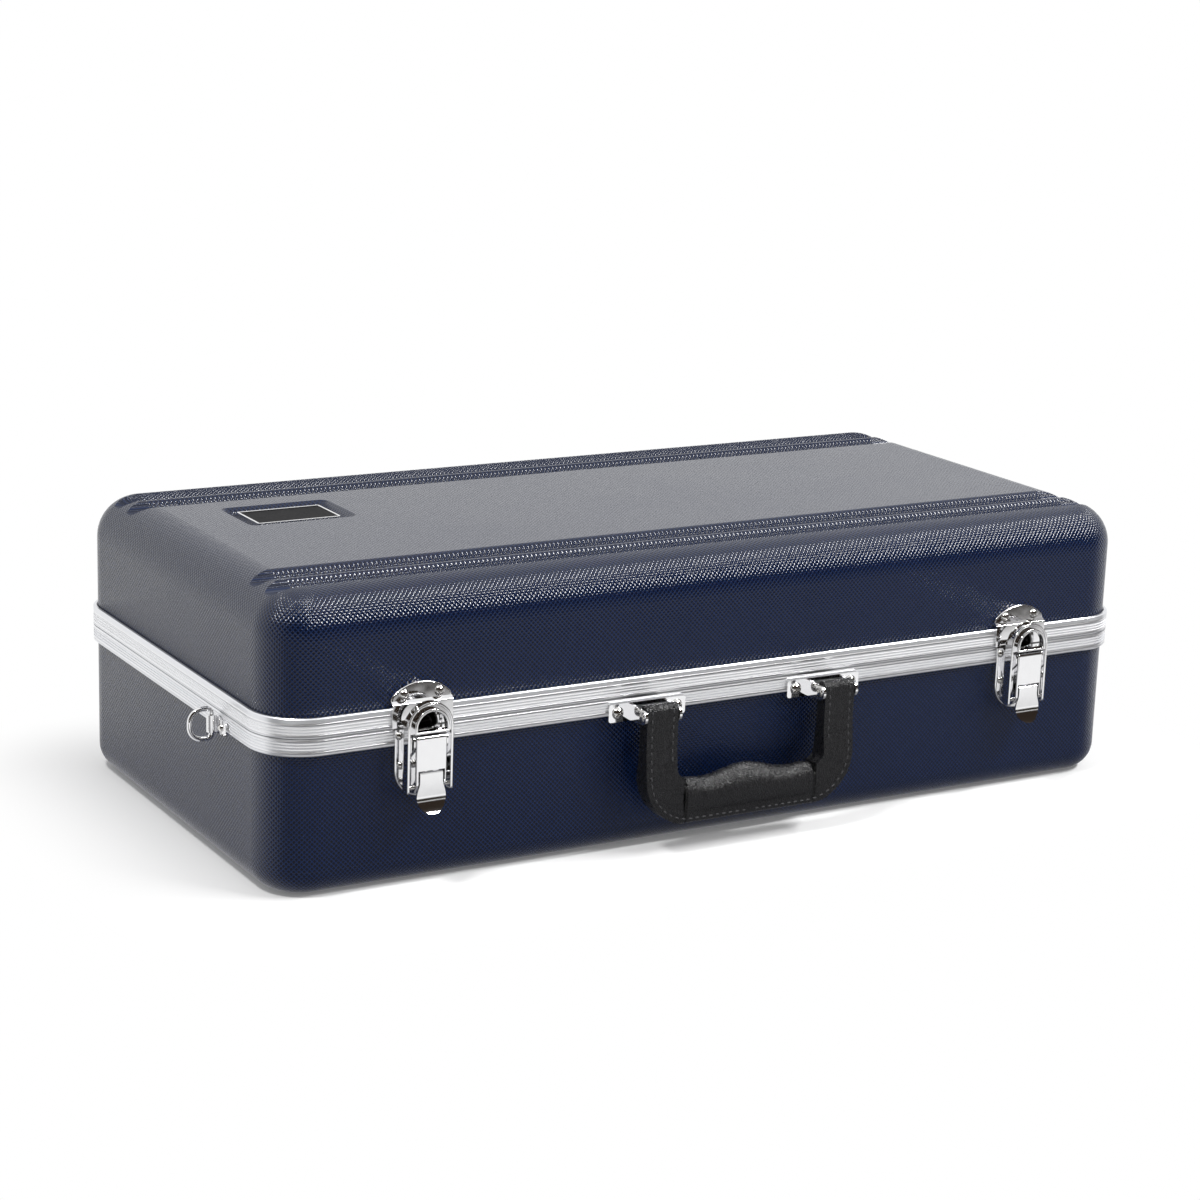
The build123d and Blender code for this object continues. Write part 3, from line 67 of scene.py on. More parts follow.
# Lamps: place, point aimed at, length, width, watts
LAMPS = {
    "key": ((0.80, -0.84, 1.27), (0.0, -0.1, 0.1), 1.0, 0.16, 24),
    "side": ((-0.90, -0.50, 1.46), (-0.2, -0.1, 0.1), 0.22, 0.20, 13),
}
STUDIO_LIGHT = 0.45

# Floor: half the footprint of the case, and how far its shadow and the painted shade seen in
# mirrors reach
FLOOR_HALF = 9
FOOT_X = 0.26
FOOT_Y = 0.12
SHADOW_REACH = 0.105
SHADOW_LEFT = 0.12
NEAR_REACH = 0.16

# Walls of the shells, which the embossed pattern is laid out on
CORNER_X = 0.250
CORNER_Y = 0.109
CORNER_R = 0.0274
TOP_EDGE_X = 0.2534
TOP_EDGE_Y = 0.1124
TOP_Z = 0.164
UNDERSIDE_Z = 0.0004
LID_EDGE_R = 0.024
BASE_EDGE_R = 0.016
EMBOSS_PITCH = 0.0027
EMBOSS_DEPTH = 0.00026
CHANNEL_START = 0.0008
CHANNEL_DEEP = 0.0030

# Heights of the valances' reed grooves and of the ridges between them, painted as bright highlight
# lines, and half widths of those lines
REED_GROOVES = (0.09455, 0.0930, 0.09145, 0.08595, 0.0844, 0.08285)
REED_RIDGES = (0.0962, 0.0902, 0.0874, 0.0812)
GROOVE_HALF = 0.0008
RIDGE_HALF = 0.0007

# Part of each keeper painted near-black as shade, in the bail's window
LATCH_CENTRES = (-0.1946, 0.1976)
NOSE_Z = 0.0905
NOSE_RADIUS = (0.0098, 0.0088)
NOSE_FACE_Y = (-0.1425, -0.1418)

# Handle: outline of the strap, its stitches, and the ends of the grip
STRAP_OUTER = 0.0678
STRAP_INNER = 0.0482
STRAP_BOTTOM = 0.0180
STRAP_TOP = 0.0835
STRAP_CORNER = 0.0290
GRIP_END_X = 0.0425
STITCH_MARGIN = 0.0031
STITCH_PITCH = 0.0044
STITCH_LENGTH = 0.0024
STITCH_RADIUS = 0.00042
STITCH_PROUD = 0.00005
STITCH_LONGEST_STEP = 0.01
CORNER_STITCHES = 9
LEG_STITCH_END = 0.052
BEFORE_HANDLE_Y = -0.25
THREAD_SIDES = 6
THREAD_RINGS = ((-0.5, 0.25), (-0.42, 0.75), (-0.2, 1.0), (0.2, 1.0), (0.42, 0.75), (0.5, 0.25))

# Rounded edges of CAD nodes: width and segments
SOFT_EDGES = {"handle_strap": (0.0018, 4), "handle_grip": (0.0012, 3)}
SOFT_EDGE_ANGLE = math.radians(35.0)

# Foam pieces: CAD node, name, body, voxel, inset, depth of the unevenness and its scale
FOAM = (
    ("trumpet_bed", "plush_bed", "base", 0.0026, 0.0003, 0.0012, 0.05),
    ("lid_liner", "plush_lid_pad", "lid", 0.0024, 0.0003, 0.0012, 0.05),
    ("accessory_flap", "plush_flap", "flap", 0.0012, 0.0002, 0.0006, 0.03),
)
RELAX_STEPS = 6

# Ribbon loop on the flap
RIBBON_THICK = 0.0007
RIBBON_BOW = 0.0003
RIBBON_FILL = 0.98
RIBBON_ROWS = 24
RIBBON_COLUMNS = 8
RIBBON_RIB = 0.0007
RIBBON_WARP = 0.0005

# Chrome and steel: colour, roughness and waviness
BRIGHT_METALS = {
    "chrome_plate": ((0.90, 0.90, 0.91), 0.07, 0.10),
    "pin_steel": ((0.80, 0.79, 0.77), 0.12, 0.10),
    "hinge_steel": ((0.74, 0.74, 0.75), 0.20, 0.12),
    "badge_metal": ((0.86, 0.86, 0.87), 0.16, 0.05),
}


# ---------------------------------------------------------------- camera and light
def link(name, data):
    """Object with this data, in the scene."""
    obj = bpy.data.objects.new(name, data)
    bpy.context.scene.collection.objects.link(obj)
    return obj


def add_camera():
    """Long lens at the photograph's viewpoint, slightly rolled."""
    away = Vector((
        math.sin(CAMERA_AZIMUTH) * math.cos(CAMERA_ELEVATION),
        -math.cos(CAMERA_AZIMUTH) * math.cos(CAMERA_ELEVATION),
        math.sin(CAMERA_ELEVATION),
    ))
    data = bpy.data.cameras.new("camera")
    data.sensor_width = SENSOR_MM
    data.lens = LENS_MM
    data.clip_end = CAMERA_REACH
    camera = link("camera", data)
    look = (-away).to_track_quat("-Z", "Y").to_matrix()
    turned = (look @ Matrix.Rotation(CAMERA_ROLL, 3, "Z")).to_4x4()
    camera.matrix_world = Matrix.Translation(CAMERA_TARGET + away * CAMERA_DISTANCE) @ turned
    bpy.context.scene.camera = camera


def add_lamp(name, place, target, length, width, watts):
    """Soft rectangular lamp aimed at a point."""
    data = bpy.data.lights.new(name, "AREA")
    data.shape = "RECTANGLE"
    data.size = length
    data.size_y = width
    data.energy = watts
    lamp = link(name, data)
    lamp.location = place
    lamp.rotation_euler = (Vector(target) - Vector(place)).to_track_quat("-Z", "Y").to_euler()


# ---------------------------------------------------------------- node helper
def rgb(red, green, blue):
    """Colour with full alpha, for a shader socket."""
    return (red, green, blue, 1)


WHITE = rgb(1, 1, 1)


class Build:
    """Adds and links shader nodes in one tree, around its Principled shader if it has one."""

    def __init__(self, tree):
        self.tree = tree
        self.shader = tree.nodes.get("Principled BSDF")

    def node(self, kind, **props):
        made = self.tree.nodes.new(kind)
        for key, value in props.items():
            setattr(made, key, value)
        return made

    def put(self, socket, value):
        """Links an output to the socket, or writes a constant on it."""
        if value is None:
            return
        if isinstance(value, bpy.types.NodeSocket):
            self.tree.links.new(value, socket)
        else:
            socket.default_value = value

    def feed(self, name, value):
        """Gives the Principled shader's socket of this name its value."""
        self.put(self.shader.inputs[name], value)

    def place(self):
        """Point on the surface in the object's own coordinates."""
        return self.node("ShaderNodeTexCoord").outputs["Object"]

    def math(self, operation, a, b=None, clamp=False):
        made = self.node("ShaderNodeMath", operation=operation, use_clamp=clamp)
        for socket, value in zip(made.inputs, (a, b)):
            self.put(socket, value)
        return made.outputs[0]

    def plus(self, a, b):
        return self.math("ADD", a, b)

    def minus(self, a, b):
        return self.math("SUBTRACT", a, b)

    def times(self, a, b):
        return self.math("MULTIPLY", a, b)

    def lower(self, a, b):
        return self.math("MINIMUM", a, b)

    def higher(self, a, b):
        return self.math("MAXIMUM", a, b)

    def absolute(self, a):
        return self.math("ABSOLUTE", a)

    def gap(self, a, b):
        """Distance between two numbers."""
        return self.absolute(self.minus(a, b))

    def beyond(self, a, b):
        """How far a is above b, and 0 where it isn't."""
        return self.higher(self.minus(a, b), 0.0)

    def length(self, a, b):
        """Length of a plane vector."""
        return self.math("SQRT", self.plus(self.times(a, a), self.times(b, b)))

    def vector(self, operation, a, b):
        made = self.node("ShaderNodeVectorMath", operation=operation)
        self.put(made.inputs[0], a)
        self.put(made.inputs[1], b)
        return made.outputs[0]

    def scale(self, vector, factors):
        return self.vector("MULTIPLY", vector, factors)

    def split(self, vector):
        made = self.node("ShaderNodeSeparateXYZ")
        self.put(made.inputs[0], vector)
        return made.outputs

    def join(self, x, y):
        """Vector of x, y and 0."""
        made = self.node("ShaderNodeCombineXYZ")
        self.put(made.inputs[0], x)
        self.put(made.inputs[1], y)
        return made.outputs[0]

    def noise(self, vector, scale, detail=2.0, rough=0.5):
        made = self.node("ShaderNodeTexNoise")
        self.put(made.inputs["Vector"], vector)
        self.put(made.inputs["Scale"], scale)
        self.put(made.inputs["Detail"], detail)
        self.put(made.inputs["Roughness"], rough)
        return made.outputs["Fac"]

    def voronoi(self, vector, scale):
        made = self.node("ShaderNodeTexVoronoi")
        self.put(made.inputs["Vector"], vector)
        self.put(made.inputs["Scale"], scale)
        return made.outputs["Distance"]

    def range(self, value, low, high, to_low=0.0, to_high=1.0):
        """Smooth step from to_low at low to to_high at high."""
        made = self.node("ShaderNodeMapRange", interpolation_type="SMOOTHSTEP")
        self.put(made.inputs["Value"], value)
        self.put(made.inputs["From Min"], low)
        self.put(made.inputs["From Max"], high)
        self.put(made.inputs["To Min"], to_low)
        self.put(made.inputs["To Max"], to_high)
        return made.outputs["Result"]

    def mix(self, factor, a, b):
        """Colour between a and b."""
        made = self.node("ShaderNodeMix", data_type="RGBA")
        self.put(made.inputs[0], factor)
        self.put(made.inputs[6], a)
        self.put(made.inputs[7], b)
        return made.outputs[2]

    def mix_value(self, factor, a, b):
        """Number between a and b."""
        made = self.node("ShaderNodeMix", data_type="FLOAT")
        self.put(made.inputs[0], factor)
        self.put(made.inputs[2], a)
        self.put(made.inputs[3], b)
        return made.outputs[0]

    def bump(self, height, distance, strength, normal=None):
        made = self.node("ShaderNodeBump")
        self.put(made.inputs["Strength"], strength)
        self.put(made.inputs["Distance"], distance)
        self.put(made.inputs["Height"], height)
        self.put(made.inputs["Normal"], normal)
        return made.outputs["Normal"]

    def rays(self):
        """Light Path's outputs, and a mask of the rays that metal, gloss and glass see by."""
        path = self.node("ShaderNodeLightPath").outputs
        return path, self.higher(path["Is Glossy Ray"], path["Is Transmission Ray"])

    def blend(self, factor, first, second, output):
        """Mixes two shaders into the surface of the output node of this name."""
        made = self.node("ShaderNodeMixShader")
        self.put(made.inputs[0], factor)
        self.put(made.inputs[1], first.outputs[0])
        self.put(made.inputs[2], second.outputs[0])
        self.put(self.tree.nodes[output].inputs["Surface"], made.outputs[0])


def new_material(name, metallic=0.0, rough=0.5, ior=1.45, **sockets):
    """Material with a Principled shader whose constant values are set on its sockets."""
    mat = bpy.data.materials.new(name)
    mat.use_nodes = True
    b = Build(mat.node_tree)
    b.feed("Metallic", metallic)
    b.feed("Roughness", rough)
    b.feed("IOR", ior)
    for key, value in sockets.items():
        b.feed(key.replace("_", " "), value)
    return mat, b


# ---------------------------------------------------------------- materials
def emboss(b, place):
    """Diamond grid that runs round the walls, over the lid's edge and across its top.

    Gives the grid from 0 to 1, a mask of the flat top and underside, and one of the channels.
    """
    x, y, z = b.split(place)
    side_x, side_y = b.absolute(x), b.absolute(y)
    over_x, over_y = b.beyond(side_x, CORNER_X), b.beyond(side_y, CORNER_Y)
    turn = b.times(b.math("ARCTAN2", over_x, over_y), CORNER_R)
    along = b.plus(b.lower(side_x, CORNER_X), turn)
    along = b.plus(along, b.minus(CORNER_Y, b.lower(side_y, CORNER_Y)))

    edge_z = TOP_Z - LID_EDGE_R
    rise = b.math("DIVIDE", b.minus(z, edge_z), LID_EDGE_R, clamp=True)
    fall = b.math("DIVIDE", b.minus(BASE_EDGE_R, z), BASE_EDGE_R, clamp=True)
    up = b.times(b.math("ARCSINE", rise), LID_EDGE_R)
    up = b.minus(up, b.times(b.math("ARCSINE", fall), BASE_EDGE_R))
    up = b.plus(up, b.higher(b.lower(z, edge_z), BASE_EDGE_R))

    inside_x = b.math("LESS_THAN", side_x, TOP_EDGE_X)
    inside_y = b.math("LESS_THAN", side_y, TOP_EDGE_Y)
    flat = b.times(b.times(inside_x, inside_y), b.math("GREATER_THAN", z, edge_z))
    flat = b.higher(flat, b.math("LESS_THAN", z, UNDERSIDE_Z))
    across = b.minus(edge_z + LID_EDGE_R * math.pi / 2 + TOP_EDGE_Y, side_y)

    u = b.mix_value(flat, along, side_x)
    v = b.mix_value(flat, up, across)
    wave = math.pi / EMBOSS_PITCH
    one_way = b.absolute(b.math("COSINE", b.times(b.plus(u, v), wave)))
    other_way = b.absolute(b.math("COSINE", b.times(b.minus(u, v), wave)))
    sunk = b.times(flat, b.range(z, TOP_Z - CHANNEL_START, TOP_Z - CHANNEL_DEEP))
    return b.times(one_way, other_way), flat, sunk


def shell_material():
    """Navy moulded plastic with a fine embossed diamond grid, its pits darkened with painted shade
    between the brighter ribs.
    """
    mat, b = new_material("shell_plastic", rough=0.2, ior=1.52)
    place = b.place()
    diamonds, flat, sunk = emboss(b, place)
    pits_and_shade = b.math("POWER", diamonds, 0.8)
    grain = b.noise(place, 1100.0)
    height = b.minus(b.times(grain, 0.05), pits_and_shade)
    height = b.times(height, b.minus(1.0, b.times(flat, 0.45)))
    height = b.times(height, b.plus(1.0, b.times(sunk, 3.0)))
    sag = b.bump(b.noise(place, 9.0, 1.0), 0.004, 0.25)
    b.feed("Normal", b.bump(height, EMBOSS_DEPTH, 0.85, sag))
    cloud = b.noise(place, 14.0, 3.0)
    # Painted shade: the grid's pits get a darker navy than its ribs.
    painted_pit_shade = b.mix(cloud, rgb(0.0004, 0.0020, 0.0120), rgb(0.0007, 0.0030, 0.0160))
    ribs = b.mix(cloud, rgb(0.0026, 0.0108, 0.0430), rgb(0.0038, 0.0132, 0.0500))
    b.feed("Base Color", b.mix(b.range(pits_and_shade, 0.15, 0.75), ribs, painted_pit_shade))
    b.feed("Roughness", b.mix_value(cloud, 0.14, 0.20))
    return mat


def line_mask(b, z, places, half):
    """One where z is at any of the given heights, fading softly to 0 at half away."""
    total = 0.0
    for place in places:
        total = b.plus(total, b.range(b.gap(z, place), half, 0.0))
    return b.lower(total, 1.0)


def aluminium_material():
    """Satin extruded aluminium: drawing lines along the band, softly rounded reeds with painted
    highlight lines, near-white on their grooves and ridges.
    """
    mat, b = new_material("valance_aluminium", metallic=1.0, rough=0.3)
    place = b.place()
    z = b.split(place)[2]
    lines = b.noise(b.scale(place, (8.0, 8.0, 2600.0)), 1.0, 3.0, 0.6)
    cloud = b.noise(place, 22.0, 3.0)
    speck = b.noise(place, 700.0)
    painted_groove_light = line_mask(b, z, REED_GROOVES, GROOVE_HALF)
    ridge_bump_and_highlight = line_mask(b, z, REED_RIDGES, RIDGE_HALF)
    satin = b.mix(cloud, rgb(0.74, 0.75, 0.78), rgb(0.84, 0.85, 0.87))
    # Painted highlight: reed grooves and ridges are coloured near-white and made less metallic.
    b.feed("Base Color", b.mix(b.higher(painted_groove_light, ridge_bump_and_highlight), satin, rgb(0.96, 0.96, 0.97)))
    b.feed("Metallic", b.mix_value(painted_groove_light, 1.0, 0.25))
    b.feed("Roughness", b.plus(b.mix_value(lines, 0.24, 0.36), b.times(speck, 0.05)))
    height = b.plus(lines, b.times(speck, 0.4))
    b.feed("Normal", b.bump(height, 0.00006, 0.35, b.bump(ridge_bump_and_highlight, 0.00035, 0.8)))
    return mat


def chrome_material(name, tone, rough, wave):
    """Bright plate over pressed sheet: slight waviness, hair scratches, tiny rough patches."""
    mat, b = new_material(name, metallic=1.0, rough=rough)
    place = b.place()
    scratch = b.noise(b.scale(place, (420.0, 420.0, 5200.0)), 1.0)
    scratch = b.range(scratch, 0.66, 0.80)
    bloom = b.noise(place, 210.0, 3.0)
    b.feed("Base Color", b.mix(bloom, rgb(*(t * 0.94 for t in tone)), rgb(*tone)))
    patches = b.mix_value(bloom, rough * 0.7, rough * 1.5)
    b.feed("Roughness", b.plus(patches, b.times(scratch, 0.03)))
    swell = b.bump(b.noise(place, 95.0, 1.0), 0.0006, wave)
    b.feed("Normal", b.bump(scratch, 0.00001, 0.06, swell))
    return mat


def keeper_material():
    """Chrome keeper with painted shade: its nose is coloured near-black where the bail frames it.
    """
    mat = chrome_material("chrome_keeper", *BRIGHT_METALS["chrome_plate"])
    b = Build(mat.node_tree)
    x, y, z = b.split(b.place())
    sideways = b.lower(*(b.gap(x, centre) for centre in LATCH_CENTRES))
    round_nose = b.range(b.length(sideways, b.minus(z, NOSE_Z)), *NOSE_RADIUS)
    nose_painted_shade = b.times(round_nose, b.range(y, *NOSE_FACE_Y, 1.0, 0.0))
    plain = b.shader.inputs["Base Color"].links[0].from_socket
    # Painted shade: the nose inside the bail's window is coloured near-black.
    b.feed("Base Color", b.mix(nose_painted_shade, plain, rgb(0.010, 0.009, 0.010)))
    return mat


def leather_material():
    """Black moulded leather grain: pebbles with glints, creases, a worn sheen, and painted shade
    in the fold at the grip's seam.
    """
    mat, b = new_material("handle_plastic", rough=0.3, ior=1.5)
    place = b.place()
    elsewhere = b.vector("ADD", place, (0.3, 0.1, 0.2))
    shift = b.join(b.noise(place, 320.0), b.noise(elsewhere, 320.0))
    pebble = b.voronoi(b.vector("ADD", place, b.scale(shift, (0.0012, 0.0012, 0.0))), 1150.0)
    fine = b.noise(place, 2600.0)
    crease = b.noise(place, 420.0, 3.0, 0.6)
    x, _, z = b.split(place)
    seam = b.gap(b.absolute(x), GRIP_END_X)
    seam_fold_and_shade = b.times(b.range(seam, 0.0016, 0.0), b.range(z, 0.050, 0.046))
    puckers = b.noise(b.scale(place, (1.0, 1.0, 0.35)), 520.0)
    wrinkle = b.times(b.range(seam, 0.011, 0.0), puckers)
    grain = b.plus(b.times(fine, 0.3), b.times(crease, 0.8))
    height = b.minus(grain, b.times(pebble, 1.3))
    soft = b.bump(b.minus(b.times(wrinkle, 0.8), seam_fold_and_shade), 0.0010, 0.9)
    b.feed("Normal", b.bump(height, 0.00026, 0.9, soft))
    tone = b.mix(crease, rgb(0.0030, 0.0030, 0.0036), rgb(0.0105, 0.0105, 0.0120))
    # Painted shade: the fold at the grip's seam is coloured near-black.
    b.feed("Base Color", b.mix(seam_fold_and_shade, tone, rgb(0.0012, 0.0012, 0.0014)))
    b.feed("Roughness", b.mix_value(b.range(crease, 0.35, 0.65), 0.20, 0.40))
    return mat


def thread_material():
    """Black waxed thread with a twist."""
    mat, b = new_material("stitch_thread", rough=0.5)
    x, _, z = b.split(b.place())
    twist = b.math("SINE", b.times(b.plus(x, z), 9000.0))
    dark, light = rgb(0.022, 0.022, 0.024), rgb(0.075, 0.075, 0.080)
    b.feed("Base Color", b.mix(b.range(twist, -1.0, 1.0), dark, light))
    b.feed("Normal", b.bump(twist, 0.0001, 0.6))
    return mat


def plush_material():
    """Short navy plush: fine pile, brushed patches, soft sheen."""
    mat, b = new_material(
        "lining_plush", rough=0.95, ior=1.3,
        Sheen_Weight=0.55, Sheen_Roughness=0.45, Sheen_Tint=rgb(0.35, 0.40, 0.60),
    )
    place = b.place()
    pile = b.noise(place, 1500.0, 3.0, 0.7)
    tuft = b.noise(place, 380.0, 3.0, 0.6)
    brushed = b.noise(b.scale(place, (1.0, 1.6, 1.0)), 26.0, 4.0, 0.55)
    tone = b.plus(b.times(tuft, 0.5), b.times(b.range(brushed, 0.35, 0.65), 0.5))
    b.feed("Base Color", b.mix(tone, rgb(0.0065, 0.0080, 0.0200), rgb(0.0210, 0.0250, 0.0560)))
    b.feed("Normal", b.bump(b.plus(pile, b.times(tuft, 1.2)), 0.0009, 0.75))
    return mat


def ribbon_material():
    """Woven grosgrain ribbon: fine cross ribs over a finer warp."""
    mat, b = new_material("ribbon", rough=0.62, ior=1.4, Sheen_Weight=0.3)
    x, y, z = b.split(b.place())
    ribs = b.math("SINE", b.times(b.plus(y, z), 2 * math.pi / RIBBON_RIB))
    warp = b.math("SINE", b.times(x, 2 * math.pi / RIBBON_WARP))
    weave = b.plus(ribs, b.times(warp, 0.4))
    dark, light = rgb(0.008, 0.010, 0.022), rgb(0.03, 0.035, 0.07)
    b.feed("Base Color", b.mix(b.range(weave, -1.4, 1.4), dark, light))
    b.feed("Normal", b.bump(weave, 0.00012, 0.7))
    return mat


def badge_material():
    """Matt black enamel inlay with fine orange peel."""
    mat, b = new_material("badge_dark", rough=0.5, ior=1.1)
    place = b.place()
    peel = b.noise(place, 900.0)
    cloud = b.noise(place, 120.0)
    b.feed("Base Color", b.mix(cloud, rgb(0.003, 0.003, 0.0035), rgb(0.008, 0.008, 0.009)))
    b.feed("Roughness", b.mix_value(peel, 0.35, 0.55))
    b.feed("Normal", b.bump(peel, 0.00008, 0.4))
    return mat


def brass_material():
    """Plain brass of the small hinge, slightly dulled."""
    mat, b = new_material("small_hinge_brass", metallic=1.0, rough=0.3)
    dull = b.noise(b.place(), 240.0, 4.0, 0.6)
    b.feed("Base Color", b.mix(dull, rgb(0.48, 0.33, 0.13), rgb(0.78, 0.58, 0.27)))
    b.feed("Roughness", b.mix_value(dull, 0.2, 0.48))
    b.feed("Normal", b.bump(dull, 0.0001, 0.2))
    return mat


def floor_material():
    """Pale paper floor: white all round, with the case's soft shadow kept close to it.

    In mirror reflections it is white too, but with painted shade near the case and under its
    front, and dark where the room begins.
    """
    mat, b = new_material("floor_paper", rough=0.9, ior=1.2)
    place = b.place()
    b.feed("Base Color", rgb(0.92, 0.92, 0.92))
    b.feed("Normal", b.bump(b.noise(place, 900.0), 0.0001, 0.05))
    x, y, _ = b.split(place)
    out_x = b.beyond(b.absolute(x), FOOT_X)
    out_y = b.beyond(b.absolute(y), FOOT_Y)
    away = b.length(out_x, out_y)
    fade = b.range(away, 0.0, SHADOW_REACH, SHADOW_LEFT, 1.0)
    path, mirror = b.rays()

    # Painted shade for mirror rays: grey near the case, darker under its front.
    painted_front_shadow = b.times(b.range(y, -0.11, -0.14), b.range(y, -0.34, -0.20))
    seen = b.mix(b.range(away, NEAR_REACH, 0.0), WHITE, rgb(0.62, 0.62, 0.65))
    seen = b.mix(painted_front_shadow, seen, rgb(0.22, 0.22, 0.23))
    seen = b.mix(b.range(y, -0.395, -0.480), seen, rgb(0.03, 0.026, 0.022))
    glow = b.node("ShaderNodeEmission")
    b.put(glow.inputs["Color"], b.mix(mirror, WHITE, seen))
    lit = b.higher(mirror, b.times(path["Is Camera Ray"], fade))
    b.blend(lit, b.shader, glow, "Material Output")
    return mat


def make_world():
    """White studio. In mirror reflections a dim room stands at the front, above the floor."""
    world = bpy.data.worlds.new("studio")
    bpy.context.scene.world = world
    world.use_nodes = True
    b = Build(world.node_tree)
    light = world.node_tree.nodes["Background"]
    b.put(light.inputs["Color"], WHITE)
    b.put(light.inputs["Strength"], STUDIO_LIGHT)
    _, y, z = b.split(b.node("ShaderNodeTexCoord").outputs["Generated"])
    ahead = b.range(b.times(y, -1.0), -0.10, 0.20)
    above = b.range(z, -0.02, 0.08)
    below_top = b.range(z, 0.72, 0.92, 1.0, 0.0)
    path, mirror = b.rays()
    room = b.times(b.times(b.times(ahead, above), below_top), mirror)
    seen = b.node("ShaderNodeBackground")
    b.put(seen.inputs["Color"], b.mix(room, WHITE, rgb(0.028, 0.020, 0.015)))
    b.blend(b.higher(path["Is Camera Ray"], mirror), light, seen, "World Output")


# ---------------------------------------------------------------- meshes
def dress(mesh, look):
    """Smooth shading and one material."""
    for polygon in mesh.polygons:
        polygon.use_smooth = True
    mesh.materials.clear()
    mesh.materials.append(LOOKS[look])


def finished(work, name, look):
    """New object with a working object's mesh, its modifiers applied. The working one goes."""
    depsgraph = bpy.context.evaluated_depsgraph_get()
    mesh = bpy.data.meshes.new_from_object(work.evaluated_get(depsgraph))
    bpy.data.objects.remove(work)
    dress(mesh, look)
    return link(name, mesh)


def add_foam(node_name, name, body, voxel, inset, depth, scale):
    """Foam piece from a CAD solid: rounded by relaxing, then gently uneven inwards."""
    source = NODES[node_name]
    work = link(name + "_work", source.data.copy())
    work.matrix_world = source.matrix_world.copy()
    remesh = work.modifiers.new("remesh", "REMESH")
    remesh.mode = "VOXEL"
    remesh.voxel_size = voxel
    relax = work.modifiers.new("relax", "SMOOTH")
    relax.factor = 0.5
    relax.iterations = RELAX_STEPS
    texture = bpy.data.textures.new(name + "_lumps", "CLOUDS")
    texture.noise_scale = scale
    texture.noise_depth = 2
    lumps = work.modifiers.new("lumps", "DISPLACE")
    lumps.texture = texture
    lumps.texture_coords = "LOCAL"
    lumps.strength = depth
    lumps.mid_level = 1.0
    sink = work.modifiers.new("inset", "DISPLACE")
    sink.strength = -inset
    sink.mid_level = 0.0
    piece = finished(work, name, "lining_plush")
    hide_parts(node_name)
    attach(piece, body)


def surface_of(node_name):
    """Ray target made of a CAD node's mesh."""
    mesh = NODES[node_name].data
    points = [vertex.co.copy() for vertex in mesh.vertices]
    return BVHTree.FromPolygons(points, [list(face.vertices) for face in mesh.polygons])


def steps(start, stop, pitch):
    """Even steps of about one pitch from start to just before stop."""
    count = max(1, round(abs(stop - start) / pitch))
    return [start + (stop - start) * i / count for i in range(count)]


def stitch_lines():
    """Points along the strap's outer edge, and along its legs' inner edges."""
    edge = STRAP_OUTER - STITCH_MARGIN
    low = STRAP_BOTTOM + STITCH_MARGIN
    radius = STRAP_CORNER - STITCH_MARGIN
    centre_x, centre_z = edge - radius, low + radius
    angles = [math.pi / 2 * i / CORNER_STITCHES for i in range(CORNER_STITCHES)]
    half = [(edge, z) for z in steps(STRAP_TOP, centre_z, STITCH_PITCH)]
    half += [(centre_x + radius * math.cos(a), centre_z - radius * math.sin(a)) for a in angles]
    half += [(x, low) for x in steps(centre_x, 0.0, STITCH_PITCH)]
    mirrored = [(-x, z) for x, z in reversed(half)]
    leg = steps(STRAP_TOP, LEG_STITCH_END, STITCH_PITCH)
    legs = [(side * (STRAP_INNER + STITCH_MARGIN), z) for side in (-1, 1) for z in leg]
    return half + mirrored, legs


def add_thread(bm, centre, along, normal):
    """Short rounded thread lying on a surface."""
    side = along.cross(normal).normalized()
    angles = [2 * math.pi * i / THREAD_SIDES for i in range(THREAD_SIDES)]
    spokes = [side * math.cos(a) + normal * math.sin(a) for a in angles]
    loops = []
    for place, size in THREAD_RINGS:
        middle = centre + along * place * STITCH_LENGTH
        loops.append([bm.verts.new(middle + spoke * STITCH_RADIUS * size) for spoke in spokes])
    for one, two in zip(loops, loops[1:]):
        for i in range(THREAD_SIDES):
            j = (i + 1) % THREAD_SIDES
            bm.faces.new((one[i], one[j], two[j], two[i]))
    bm.faces.new(list(reversed(loops[0])))
    bm.faces.new(loops[-1])


def add_stitches():
    """Thread stitches sunk into the front of the handle's strap along its edges."""
    strap = surface_of("handle_strap")
    bm = bmesh.new()
    for line in stitch_lines():
        for i, (x, z) in enumerate(line):
            hit, normal, *_ = strap.ray_cast(Vector((x, BEFORE_HANDLE_Y, z)), Vector((0, 1, 0)))
            if hit is None:
                continue
            after = line[i + 1] if i + 1 < len(line) else line[i - 1]
            way = Vector((after[0] - x, 0, after[1] - z))
            if way.length > STITCH_LONGEST_STEP:
                way = Vector((0, 0, 1))
            way = (way - normal * way.dot(normal)).normalized()
            add_thread(bm, hit + normal * STITCH_PROUD, way, normal)
    mesh = bpy.data.meshes.new("handle_stitches")
    bm.normal_update()
    bm.to_mesh(mesh)
    bm.free()
    dress(mesh, "stitch_thread")
    piece = link("handle_stitches", mesh)
    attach(piece, "handle")


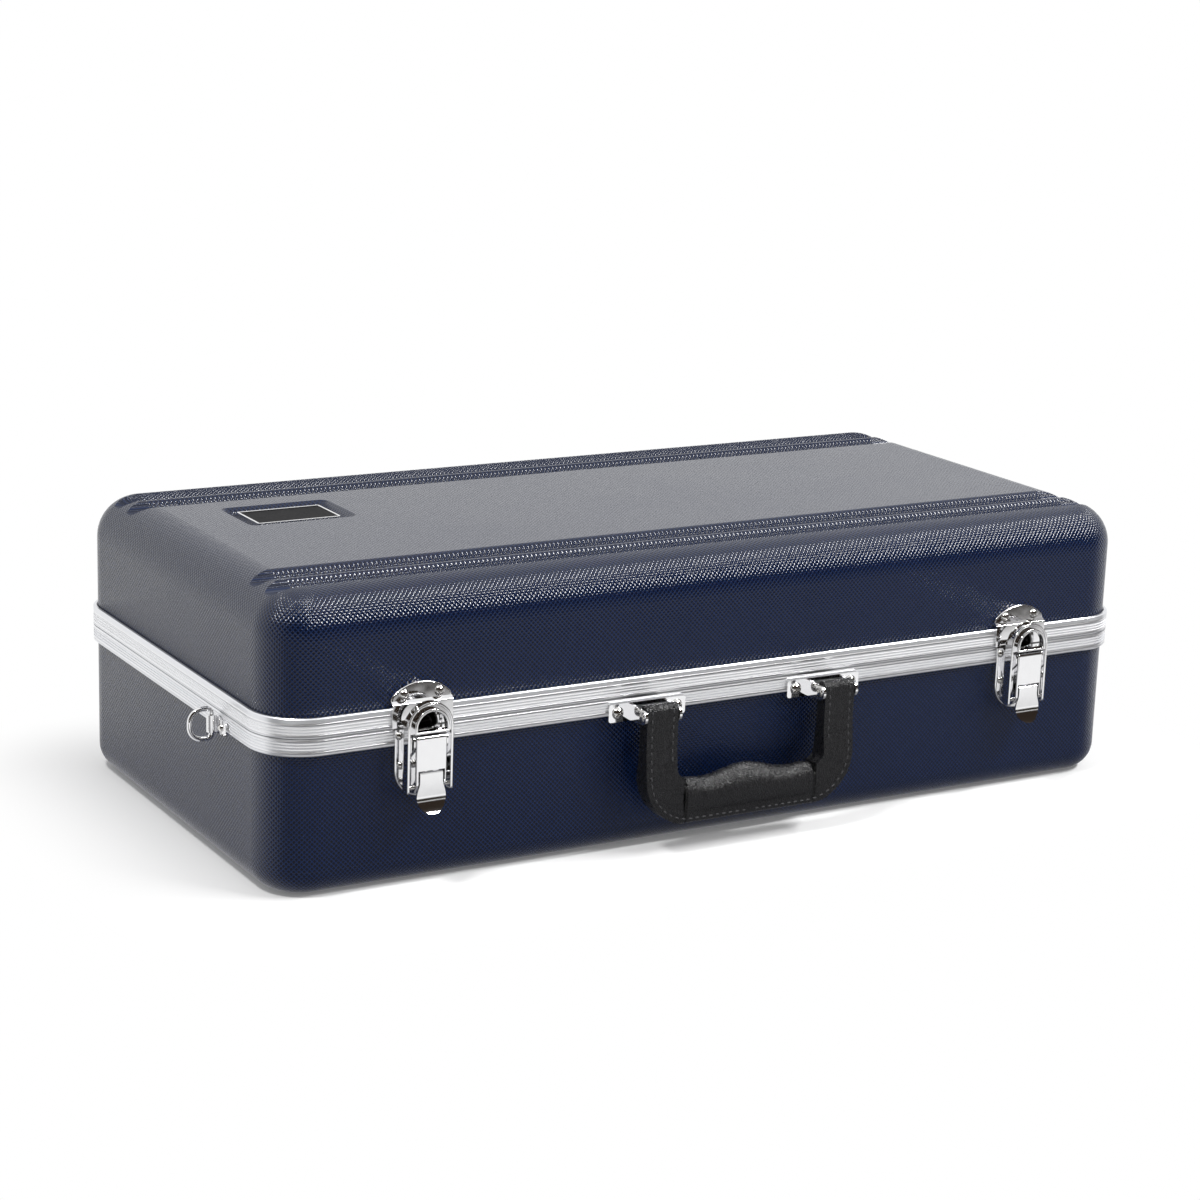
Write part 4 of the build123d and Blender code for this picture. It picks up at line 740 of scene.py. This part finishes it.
def add_ribbon_tab():
    """Folded ribbon loop that lifts the accessory flap."""
    sides = list(zip(*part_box("pull_tab")))
    x, y, z = ((low + high) / 2 for low, high in sides)
    half_x, half_y, half_z = ((high - low) / 2 for low, high in sides)
    bm = bmesh.new()
    grid = []
    for r in range(RIBBON_ROWS + 1):
        angle = 2 * math.pi * (r / RIBBON_ROWS)
        row_y = y + (half_y - RIBBON_THICK) * math.cos(angle)
        row_z = z + (half_z - RIBBON_THICK) * math.sin(angle)
        row = []
        for c in range(RIBBON_COLUMNS + 1):
            across = c / RIBBON_COLUMNS * 2 - 1
            bow = RIBBON_BOW * math.cos(across * math.pi * 0.5)
            row.append(bm.verts.new((x + across * half_x * RIBBON_FILL, row_y, row_z + bow)))
        grid.append(row)
    for row, after in zip(grid, grid[1:]):
        for c in range(RIBBON_COLUMNS):
            bm.faces.new((row[c], row[c + 1], after[c + 1], after[c]))
    mesh = bpy.data.meshes.new("ribbon_tab")
    bm.to_mesh(mesh)
    bm.free()
    work = link("ribbon_work", mesh)
    thickness = work.modifiers.new("thickness", "SOLIDIFY")
    thickness.thickness = RIBBON_THICK
    thickness.offset = 0.0
    piece = finished(work, "ribbon_tab", "ribbon")
    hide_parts("pull_tab")
    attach(piece, "flap")


def soften(node_name, width, segments):
    """Rounds a CAD node's edges as a moulding has them."""
    bevel = NODES[node_name].modifiers.new("edge", "BEVEL")
    bevel.width = width
    bevel.segments = segments
    bevel.limit_method = "ANGLE"
    bevel.angle_limit = SOFT_EDGE_ANGLE


def add_floor():
    """Wide flat floor under the case."""
    corners = ((-1, -1), (1, -1), (1, 1), (-1, 1))
    mesh = bpy.data.meshes.new("floor")
    mesh.from_pydata([(x * FLOOR_HALF, y * FLOOR_HALF, 0) for x, y in corners], [], [(0, 1, 2, 3)])
    mesh.materials.append(floor_material())
    link("floor", mesh)


# ---------------------------------------------------------------- assembly of the looks
bpy.context.scene.view_settings.view_transform = "Standard"
add_camera()
make_world()
for lamp_name, settings in LAMPS.items():
    add_lamp(lamp_name, *settings)

LOOKS = {name: chrome_material(name, *finish) for name, finish in BRIGHT_METALS.items()}
LOOKS.update({
    "chrome_keeper": keeper_material(),
    "shell_plastic": shell_material(),
    "valance_aluminium": aluminium_material(),
    "badge_dark": badge_material(),
    "handle_plastic": leather_material(),
    "stitch_thread": thread_material(),
    "lining_plush": plush_material(),
    "ribbon": ribbon_material(),
    "small_hinge_brass": brass_material(),
})
SLOTS = {row["node"]: row["material_slot"] for row in frame["record"]["subparts"]}
for node_name, node in NODES.items():
    look = "chrome_keeper" if node_name.endswith("_keeper") else SLOTS[node_name]
    for material_slot in node.material_slots:
        material_slot.material = LOOKS[look]

for node_name, edge in SOFT_EDGES.items():
    soften(node_name, *edge)
for foam in FOAM:
    add_foam(*foam)
add_ribbon_tab()
add_stitches()
add_floor()
